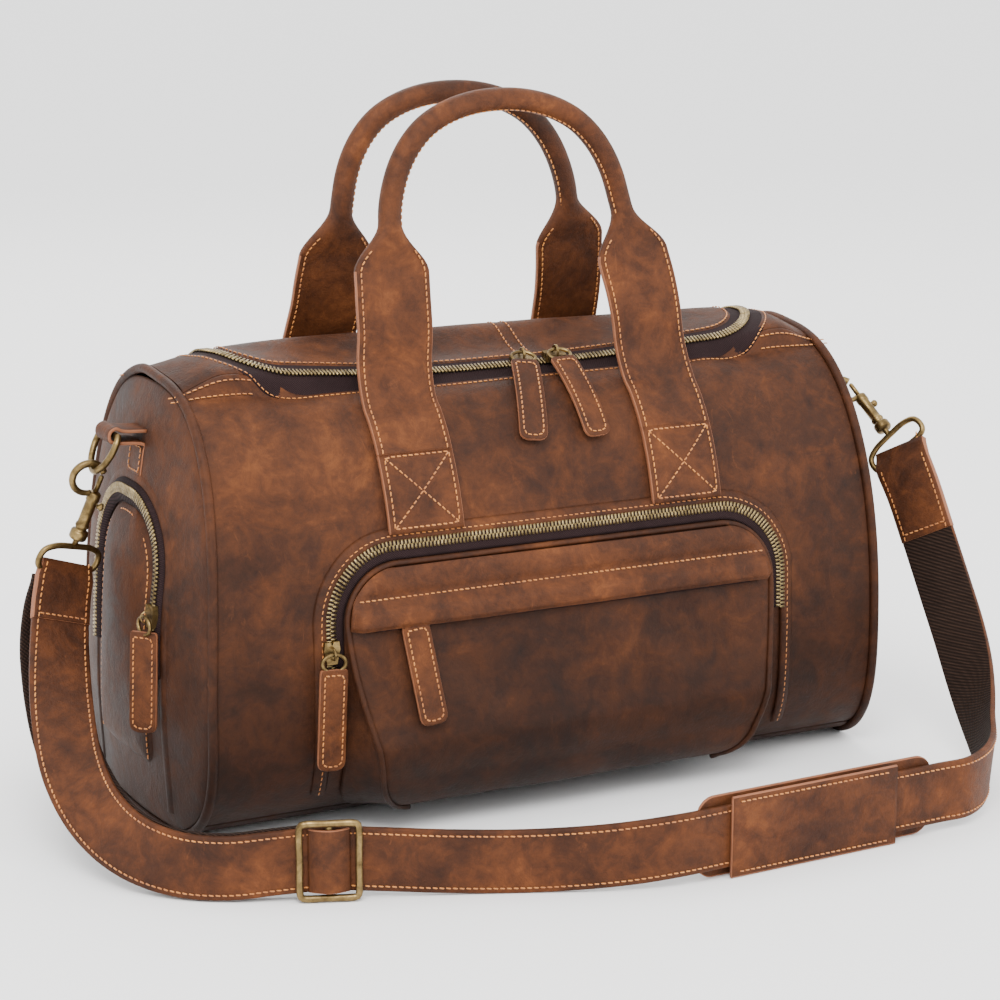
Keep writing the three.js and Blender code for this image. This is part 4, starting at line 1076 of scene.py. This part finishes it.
for word, side in (("left", -1), ("right", 1)):
    y, z = -END_Y + 5.5, END_LOW + 98
    reach = (CAP_X + 4.5) * math.sqrt(1 - (y / CAP_Y) ** 2 - ((z - CAP_CENTRE_Z) / CAP_Z) ** 2)
    add_pull(f"end_{word}_pull", (side * (reach + 0.2), y, z), (side, -0.12, 0.05), (side * 0.05, -0.03, -1),
             -side * 36)

# ------------------------------------------------------------------ carrying handles

HANDLE_X, GRIP_LEAN, PEAK_Z, ROLL_Z = 91.5, -9.0, 438.0, 360.0
HANDLE_HALF, HANDLE_THICK, ROLL = 25.0, 4.4, 7.2
PATCH_LOW, PATCH_HIGH = box("handle_patch_front_left")[0][2], 230.6
HANDLE_SIDE = [
    (91, 268), (90, 282), (88.5, 300), (87, 318), (85, 334), (83.5, 348), (82, 360), (80, 374), (76.5, 388),
    (71, 401), (63, 413), (52, 423.5), (37, 431.5), (19, 436.5), (0, 438),
]
HANDLE_DEPTH_Z = [257, 268, 282, 312, 345, 374, 438]
HANDLE_DEPTH = {-1: [70.5, 62, 57, 54, 46, 41, 40], 1: [70.5, 64, 58, 46, 34, 30, 29]}
HANDLE_STATIONS, PATCH_STATIONS = 170, 16
HANDLE_STITCH = HANDLE_HALF - 3.4  # from the middle of the strap to its side stitches


def s_face(sign, z):
    return s_front(z) if sign < 0 else s_back(z)


for word, sign in (("front", -1), ("back", 1)):
    body = f"handle_{word}"
    half = []
    for z in (230.6, 236, 243, 250, 256):
        point = barrel(HANDLE_X, s_face(sign, z), 0.35 + HANDLE_THICK / 2)
        half.append((HANDLE_X, abs(point[1]), point[2]))
    half += [(x, float(np.interp(z, HANDLE_DEPTH_Z, HANDLE_DEPTH[sign])), z) for x, z in HANDLE_SIDE]
    half = np.array(half)
    left = half[:-1][::-1] * [-1, 1, 1]
    route = np.concatenate([half, left])
    route[:, 0] += GRIP_LEAN * np.maximum(0, (route[:, 2] - 300) / (PEAK_Z - 300))
    route[:, 1] *= sign
    route = catmull(route, np.linspace(0, 1, HANDLE_STATIONS))
    along = unit(np.gradient(route, axis=0))
    across = unit(grid(along[:, 2], 0, -along[:, 0]))
    roll = smooth(route[:, 2], ROLL_Z - 24, ROLL_Z + 6)
    width = HANDLE_HALF + (ROLL - HANDLE_HALF) * roll
    thick = HANDLE_THICK / 2 + (ROLL - HANDLE_THICK / 2) * roll
    shape, face, across = band_shape(route, across, width, thick, 0.28 + 0.72 * roll, HANDLE_SIDES)
    last = HANDLE_STATIONS - 1
    cut_edges = [flag if i >= last * HANDLE_SIDES or roll[i // HANDLE_SIDES] < 0.02 else 0
                 for i, flag in enumerate(edge_faces(HANDLE_STATIONS, HANDLE_SIDES))]
    piece(f"{body}_strap", *shape, TRIM_LEATHER, body, [body], CUT_EDGE, cut_edges)
    lines = []
    station = np.arange(HANDLE_STATIONS)
    first_half = station < HANDLE_STATIONS // 2
    ends = [station[(roll < 0.55) & first_half], station[(roll < 0.55) & ~first_half]]
    for run in ends:
        for across_side in (-1, 1):
            for face_side in (-1, 1):
                off = across[run] * (across_side * (width[run] - 3.4))[:, None]
                lift = face[run] * (face_side * (thick[run] - 0.1))[:, None]
                lines.append((route[run] + off + lift, face[run] * face_side))
    rolled = station[roll > 0.5]
    under = -unit(np.cross(face[rolled], along[rolled]))
    under *= np.sign((under * (np.array([GRIP_LEAN, sign * 40, 300]) - route[rolled])).sum(1, keepdims=True))
    slant = unit(under + face[rolled] * 0.55 * np.sign(face[rolled][:, 1:2]) * -1.0)
    lines.append((route[rolled] + slant * (ROLL - 0.1), slant))
    stitches(f"{body}_stitches", lines, body)

    for side_word, x_side in (("left", -1), ("right", 1)):
        s = s_face(sign, np.linspace(PATCH_LOW, PATCH_HIGH, PATCH_STATIONS))
        path = barrel(x_side * HANDLE_X, s, 0.35 + HANDLE_THICK / 2)
        name = f"handle_patch_{word}_{side_word}"
        leather_band(f"{name}_leather", path, np.array([1.0, 0, 0]), HANDLE_HALF, HANDLE_THICK / 2, 0.28,
                     "bag", [name], HANDLE_SIDES)
        w, low, high = HANDLE_STITCH, PATCH_LOW + 3.0, PATCH_HIGH - 1.5
        box_seam = [(-w, low), (w, low), (w, high), (-w, high), (-w, low)]
        lines = []
        for run in (box_seam, [(-w, low), (w, high)], [(-w, high), (w, low)]):
            flat_run = resample(np.array(run, float), 3.0)
            s = s_face(sign, flat_run[:, 1])
            _, _, ny, nz = section(s)
            spots = barrel(x_side * HANDLE_X, s, 0.35 + HANDLE_THICK - 0.1)
            spots[:, 0] += flat_run[:, 0]
            lines.append((spots, grid(0, ny, nz)))
        stitches(f"{name}_stitches", lines, "bag")

# ------------------------------------------------------------------ rings, hooks and strap

RING_BAR_X, RING_BAR_Z = 254.0, 243.0
LOOP_SAMPLES = 120
TAB_TURN = 4.6  # from the middle of the ring's bar to the middle of the tab that turns round it
for word, side in (("left", -1), ("right", 1)):
    drop = unit([-0.45, 0, -0.89]) if side < 0 else unit([0.75, 0, -0.66])
    bar = np.array([side * RING_BAR_X, 0, RING_BAR_Z])
    right_half = [(0, 0), (14, 0), (16, 3), (16, 11), (10.6, 20), (0, 25)]
    outline = [(-14, 0)] + right_half + [(-u, v) for u, v in right_half[-2:0:-1]]
    loop = np.array([bar + np.array([0, u, 0]) + drop * v for u, v in outline])
    loop = resample(catmull(loop, np.linspace(0, 1, LOOP_SAMPLES)), 1.2)[:-1]
    body = f"d_ring_{word}"
    piece(f"{body}_wire", *tube_shape(loop, 2.1, closed=True), BRASS, body, [body])

    # The tab lies on the cap, loops over the ring's bar and comes back down on itself.
    strip_z = np.linspace(END_HIGH + 5, RING_BAR_Z - 7, 6)
    strip = [(cap_x(0, z) + 1.7, z) for z in strip_z]
    turn = np.radians([-50, -10, 40, 90, 140])
    over = list(zip(RING_BAR_X + TAB_TURN * np.cos(turn), RING_BAR_Z + TAB_TURN * np.sin(turn)))
    back = [(cap_x(0, RING_BAR_Z) + 1.2, RING_BAR_Z + 1.5)]
    path = np.array([(side * x, 0, z) for x, z in strip + over + back])
    path = catmull(path, np.linspace(0, 1, 60))
    name = f"ring_tab_{word}"
    leather_band(f"{name}_leather", path, np.array([0, 1.0, 0]), 12, 1.3, 0.3, "bag", [name])
    low, high = END_HIGH + 7, RING_BAR_Z - 9
    seam = resample(np.array([(-9, low), (9, low), (9, high), (-9, high), (-9, low)]), 1.5)
    seam = cap(side, seam[:, 0], seam[:, 1], 3.0)
    stitches(f"{name}_stitches", [(seam, np.array([side * 1.0, 0, 0.3]))], "bag")

HOOK_LENGTH, COLLAR_LENGTH, HOOK_OFFSET, HOOK_LOOP = 26.0, 7.0, 8.0, 10.0
EYE_HALF, EYE_DEPTH = 22.0, 15.0
HOOK_STATIONS, KNOB_SIDES = 40, 16
WHOLE_HOOK = HOOK_LENGTH + COLLAR_LENGTH
HOOK_PROFILE = [
    (0.5, 0.0), (3.4, 0.1), (4.2, 1.0), (4.2, 5.6), (3.7, 6.2), (3.7, 21.4), (4.2, 22.2), (4.4, 23.4),
    (3.9, 24.4), (3.4, 25.4), (3.4, 26.2), (5.0, 26.6), (5.6, 27.6), (5.6, 31.4), (5.0, 32.4),
    (2.6, WHOLE_HOOK),
]
KNOB_PROFILE = [(1.5, 4.2), (1.5, 5.6), (2.3, 6.0), (2.6, 7.2), (2.2, 8.2), (0.6, 8.6)]
HOOKS = {  # for each side: the middle of the hook's loop, the way up the hook, the way across its strap
    "left": ((-267.7, 3.6, 215.6), (-0.31, 0.25, -0.92), (0.97, 0.22, 0.0)),
    "right": ((268.2, -17.4, 227.7), (0.12, -0.80, -0.59), (0.50, -0.50, 0.70)),
}


def lathe(profile, sides=20):
    """A turned piece about its z axis, from (radius, z) points."""
    angles = np.linspace(0, 2 * math.pi, sides, endpoint=False)
    return ring_stack([grid(r * np.cos(angles), r * np.sin(angles), z) for r, z in profile])


eye_bars = {}
for word, (loop_at, way, strap_across) in HOOKS.items():
    along = unit(way)
    aside = unit(np.array([1.0, 0, 0]) - along * along[0])
    across = np.cross(along, aside)
    top = np.array(loop_at) + HOOK_OFFSET * aside + HOOK_OFFSET * along
    turn = np.stack([aside, across, along])

    def place(shape):
        return np.asarray(shape[0], float) @ turn + top, shape[1]

    angles = np.radians(np.linspace(60, 324, HOOK_STATIONS))
    loop = grid(-HOOK_OFFSET + HOOK_LOOP * np.cos(angles), 0, -HOOK_OFFSET + HOOK_LOOP * np.sin(angles))
    thickness = 2.4 - 0.7 * np.linspace(1, 0, HOOK_STATIONS) ** 3
    hook = merge(tube_shape(loop, thickness), lathe(HOOK_PROFILE))
    body = f"hook_{word}"
    made = [piece(f"{body}_brass", *place(hook), BRASS, body, [body])]
    angles = np.linspace(0, 2 * math.pi, KNOB_SIDES, endpoint=False)
    knob = ring_stack([grid(z, r * np.sin(angles), 9 + r * np.cos(angles)) for r, z in KNOB_PROFILE])
    pin = lathe([(1.2, -11.5), (1.6, -10.5), (1.6, -0.4)])
    bolt = f"hook_bolt_{word}"
    made.append(piece(f"{bolt}_brass", *place(merge(knob, pin)), BRASS, bolt, [bolt]))

    # The eye is a flat D, turned to the strap that is folded round its straight side.
    e, d, eye_top = EYE_HALF, EYE_DEPTH, WHOLE_HOOK + 5
    right_half = [(0, d), (e * 0.9, d), (e, d - 4), (e * 0.93, 4), (e * 0.6, 0.6), (0, 0)]
    outline = [(-u, v) for u, v in right_half[:0:-1]] + right_half
    eye = catmull(np.array([(0, u, eye_top + v) for u, v in outline]), np.linspace(0, 1, LOOP_SAMPLES))
    eye = tube_shape(resample(eye, 1.4)[:-1], 2.0, closed=True)
    stem = lathe([(2.0, WHOLE_HOOK - 4), (2.2, WHOLE_HOOK + 0.4), (1.9, WHOLE_HOOK + 1), (1.9, eye_top)])
    eye_across = unit(np.array(strap_across) - along * (along @ np.array(strap_across)))
    turn = np.stack([np.cross(eye_across, along), eye_across, along])
    eye_bars[word] = (top + along * (eye_top + d), eye_across)
    node = f"strap_eye_{word}"
    made.append(piece(f"{node}_brass", *place(merge(eye, stem)), BRASS, "bag", [node]))

# The strap's middle line from the right-hand eye to the left-hand one, and the direction across it.
FLOOR_Z = 19.4
STRAP_ROUTE = [
    ((281, -71, 185), (0.50, -0.50, 0.70)), ((284, -80, 168), (0.50, -0.68, 0.53)),
    ((287, -94, 140), (0.50, -0.80, 0.33)), ((289, -112, 108), (0.50, -0.78, 0.37)),
    ((288, -133, 78), (0.48, -0.66, 0.58)), ((280, -160, 50), (0.36, -0.46, 0.81)),
    ((262, -196, 32), (0.16, -0.22, 0.96)), ((236, -236, 25.6), (0.04, -0.06, 1)),
    ((204, -259.2, 25.4), (0, 0, 1)), ((180, -261, 25.4), (0, 0, 1)), ((130, -263.2, 25.4), (0, 0, 1)),
    ((80, -265.4, 25.4), (0, 0, 1)), ((30, -267.6, 25.4), (0, 0, 1)), ((-12, -269.4, 25.4), (0, 0, 1)),
    ((-46, -258, 22), (0, 0, 1)), ((-90, -238, FLOOR_Z), (0, 0, 1)), ((-135, -219, 20.5), (0, 0, 1)),
    ((-170, -205.5, 23.2), (0, 0, 1)), ((-198, -195, 25), (0, 0, 1)), ((-226, -184.4, 23.2), (0, 0, 1)),
    ((-252, -172, 20.4), (0.04, 0, 1)), ((-275, -154, 20.8), (0.14, 0, 0.99)),
    ((-293, -128, 26), (0.34, 0, 0.94)), ((-303, -97, 37), (0.60, 0, 0.80)),
    ((-305, -62, 55), (0.82, 0.1, 0.57)), ((-300, -30, 79), (0.93, 0.16, 0.32)),
    ((-292, -3, 108), (0.97, 0.2, 0.1)), ((-285, 12, 136), (0.97, 0.22, 0)),
    ((-280.6, 17.4, 151), (0.97, 0.22, 0)),
]
STRAP_HALF, STRAP_THICK, STRAP_CORNER = 19.0, 4.2, 0.22
LAST = len(STRAP_ROUTE) - 1
ADJUSTER_STATION, PAD_FROM, PAD_TO = 18, 9.1, 12.6
STRAP_POINTS = [point for point, _ in STRAP_ROUTE]
STRAP_ACROSS = [across for _, across in STRAP_ROUTE]


def strap_run(start, end, count, away=None):
    """Middle line, across and inward directions of the strap between two stations of its route."""
    share = np.linspace(0, 1, count)
    at = (start + (end - start) * share) / LAST
    path = catmull(STRAP_POINTS, at)
    along, across, inward = frames(path, catmull(STRAP_ACROSS, at))
    if away is not None:
        path = path + inward * away(share)[:, None]
    return path, across, inward


def half_and_half(count, sides):
    """For a band, 1 on the faces of its inner half and 0 on its outer half."""
    return [1 if 1 <= j < sides // 2 - 2 else 0 for _ in range(count - 1) for j in range(sides)] + [0, 0]


STRAP_STATIONS, RETURN_STATIONS, END_STATIONS = 300, 120, 30
STRAP_STITCH = STRAP_HALF - 3.2  # from the middle of the strap to its side stitches
path, across, inward = strap_run(0, LAST, STRAP_STATIONS)
shape, _, _ = band_shape(path, across, STRAP_HALF, STRAP_THICK / 2, STRAP_CORNER)
strap = piece("strap_main_band", *shape, TRIM_LEATHER, "bag", ["strap_main"], WEBBING,
              half_and_half(STRAP_STATIONS, BAND_SIDES))
lines = []
for edge_side in (-1, 1):
    lines.append((path + across * edge_side * STRAP_STITCH - inward * (STRAP_THICK / 2 - 0.05), -inward))
strap_stitches = stitches("strap_stitches", lines, "bag")


def return_gap(f):
    """How far the strap's returning layer lies behind the main one."""
    return 5.6 + 11 * smooth(f, 0.42, 0.72) * (1 - smooth(f, 0.8, 1.0))


back_path, back_across, _ = strap_run(ADJUSTER_STATION, LAST, RETURN_STATIONS, return_gap)
shape, _, _ = band_shape(back_path, back_across, STRAP_HALF, 1.8, STRAP_CORNER)
returned = piece("strap_return_band", *shape, WEBBING, "bag", ["strap_return"])

# Folded leather ends sewn round the two eyes: three stations reach from the strap round each eye.
for word, (start, end) in {"right": (0.0, 2.0), "left": (LAST - 1.35, LAST)}.items():
    wrap, wrap_across, wrap_in = strap_run(start, end, END_STATIONS)
    bar, bar_across = eye_bars[word]
    first, last = (0, -3) if word == "right" else (-1, 2)
    over = bar + unit(bar - wrap[first]) * 3.4
    fold = np.array([over, bar, (bar + wrap[first]) / 2])
    fold_across = np.array([bar_across, bar_across, unit(bar_across + wrap_across[first])])
    fold_in = np.array([wrap_in[first]] * 3)
    if word == "right":
        wrap = np.concatenate([fold, wrap])
        wrap_across = np.concatenate([fold_across, wrap_across])
        wrap_in = np.concatenate([fold_in, wrap_in])
    else:
        wrap = np.concatenate([wrap, fold[::-1]])
        wrap_across = np.concatenate([wrap_across, fold_across[::-1]])
        wrap_in = np.concatenate([wrap_in, fold_in])
    leather_band(f"strap_end_{word}", wrap, wrap_across, STRAP_HALF + 0.3,
                                   STRAP_THICK / 2 + 0.9, STRAP_CORNER, "bag")
    lines = []
    for level in (-1, 1):
        lift = wrap_in * level * (STRAP_THICK / 2 + 0.85)
        for edge_side in (-1, 1):
            lines.append((wrap + wrap_across * edge_side * STRAP_STITCH + lift, wrap_in * level))
        cross = wrap[last] + np.linspace(-1, 1, 9)[:, None] * wrap_across[last] * STRAP_STITCH + lift[last]
        lines.append((cross, wrap_in[last] * level))
    stitches(f"strap_end_{word}_stitches", lines, "bag")

# The shoulder pad: a long base behind the strap and a sleeve round the middle of it.
PAD_STATIONS, PAD_HALF, PAD_CORNER, PAD_GAP = 90, 25.0, 12.0, 3.9
SLEEVE, SLEEVE_SEAM = slice(16, 78), slice(19, 75)  # stations of the pad that the sleeve covers
pad_path, pad_across, pad_in = strap_run(PAD_FROM, PAD_TO, PAD_STATIONS)
reach = np.concatenate([[0], np.cumsum(np.linalg.norm(np.diff(pad_path, axis=0), axis=1))])
from_end = np.minimum(reach, reach[-1] - reach)
pad_half = PAD_HALF - corner_cut(PAD_CORNER - from_end, PAD_CORNER)
leather_band("shoulder_pad_base", pad_path + pad_in * PAD_GAP, pad_across, pad_half, 1.2, 0.3, "shoulder_pad",
             ["shoulder_pad"])
leather_band("shoulder_pad_sleeve", pad_path[SLEEVE] - pad_in[SLEEVE] * PAD_GAP, pad_across[SLEEVE], PAD_HALF,
             1.25, 0.3, "shoulder_pad")
lines = []
for edge_side in (-1, 1):
    aside = pad_across[SLEEVE_SEAM] * edge_side * (PAD_HALF - 3.5)
    lines.append((pad_path[SLEEVE_SEAM] - pad_in[SLEEVE_SEAM] * 5.1 + aside, -pad_in[SLEEVE_SEAM]))
seam = np.flatnonzero(from_end > 2.5)
for edge_side in (-1, 1):
    aside = pad_across[seam] * edge_side * (pad_half[seam] - 3.0)[:, None]
    lines.append((pad_path[seam] + pad_in[seam] * 5.05 + aside, pad_in[seam]))
stitches("shoulder_pad_stitches", lines, "shoulder_pad")

# The slide adjuster: a brass frame round both layers, with a bar across its middle.
adjuster_at = np.array([-198.0, -195.0, 25.0])
adjuster_along = unit([-28, 10.6, 0])
adjuster_face = np.array([-adjuster_along[1], adjuster_along[0], 0])
FRAME_ALONG, FRAME_UP, FOLD_REACH = 17, 22.4, 11.5
corners = [(-1, -0.86), (-1, 0), (-1, 0.86), (-0.95, 0.97), (-0.8, 1), (0, 1), (0.8, 1), (0.95, 0.97),
           (1, 0.86), (1, 0), (1, -0.86), (0.95, -0.97), (0.8, -1), (0, -1), (-0.8, -1), (-0.95, -0.97),
           (-1, -0.86)]
loop = np.array([adjuster_at + adjuster_along * FRAME_ALONG * a + np.array([0, 0, FRAME_UP * b])
                 + adjuster_face * 4.6 for a, b in corners])
loop = resample(catmull(loop, np.linspace(0, 1, 160)), 1.5)[:-1]
bar = np.array([adjuster_at + adjuster_face * 3.4 + np.array([0, 0, FRAME_UP * b])
                for b in np.linspace(-1, 1, 12)])
adjuster = merge(tube_shape(loop, 2.1, closed=True), tube_shape(bar, 1.9))
adjuster = piece("strap_adjuster_frame", *adjuster, BRASS, "bag", ["strap_adjuster"])
rise = 2.6 + 4.3 * np.cos(np.linspace(-1, 1, 24) * math.pi / 2)
hump = np.array([adjuster_at + adjuster_along * t + adjuster_face * out
                 for t, out in zip(np.linspace(-FOLD_REACH, FOLD_REACH, 24), rise)])
hump = leather_band("strap_adjuster_fold", hump, np.array([0, 0, 1.0]), STRAP_HALF, 1.3, STRAP_CORNER, "bag")

length = float(np.linalg.norm(np.diff(path, axis=0), axis=1).sum()) * MM
back_length = float(np.linalg.norm(np.diff(back_path, axis=0), axis=1).sum()) * MM

# ------------------------------------------------------------------ CAD pieces that stay

for node in ("main_left_slider", "main_right_slider", "pocket_slider", "flap_slider", "end_left_slider",
             "end_right_slider", "base_board", "inner_pocket"):
    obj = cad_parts[node]
    obj.data.materials.clear()
    obj.data.materials.append(BRASS if node.endswith("slider") else LINING)
    bevel = obj.modifiers.new("eased", "BEVEL")
    bevel.width = 0.0004
    bevel.segments = 2

# ------------------------------------------------------------------ floor and last lines

floor_material = bpy.data.materials.new("floor")
floor_material.use_nodes = True
floor_shader = floor_material.node_tree.nodes["Principled BSDF"]
floor_shader.inputs["Base Color"].default_value = (0.95, 0.95, 0.95, 1.0)
floor_shader.inputs["Roughness"].default_value = 0.8
floor_mesh = bpy.data.meshes.new("floor")
floor_mesh.from_pydata([(-20, -20, 0), (20, -20, 0), (20, 20, 0), (-20, 20, 0)], [], [(0, 1, 2, 3)])
floor_mesh.materials.append(floor_material)
floor = bpy.data.objects.new("floor", floor_mesh)
scene.collection.objects.link(floor)
floor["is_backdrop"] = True

low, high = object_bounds()
{"cad": [list(CAD_LOW), list(CAD_HIGH)], "visual": [list(low), list(high)]}
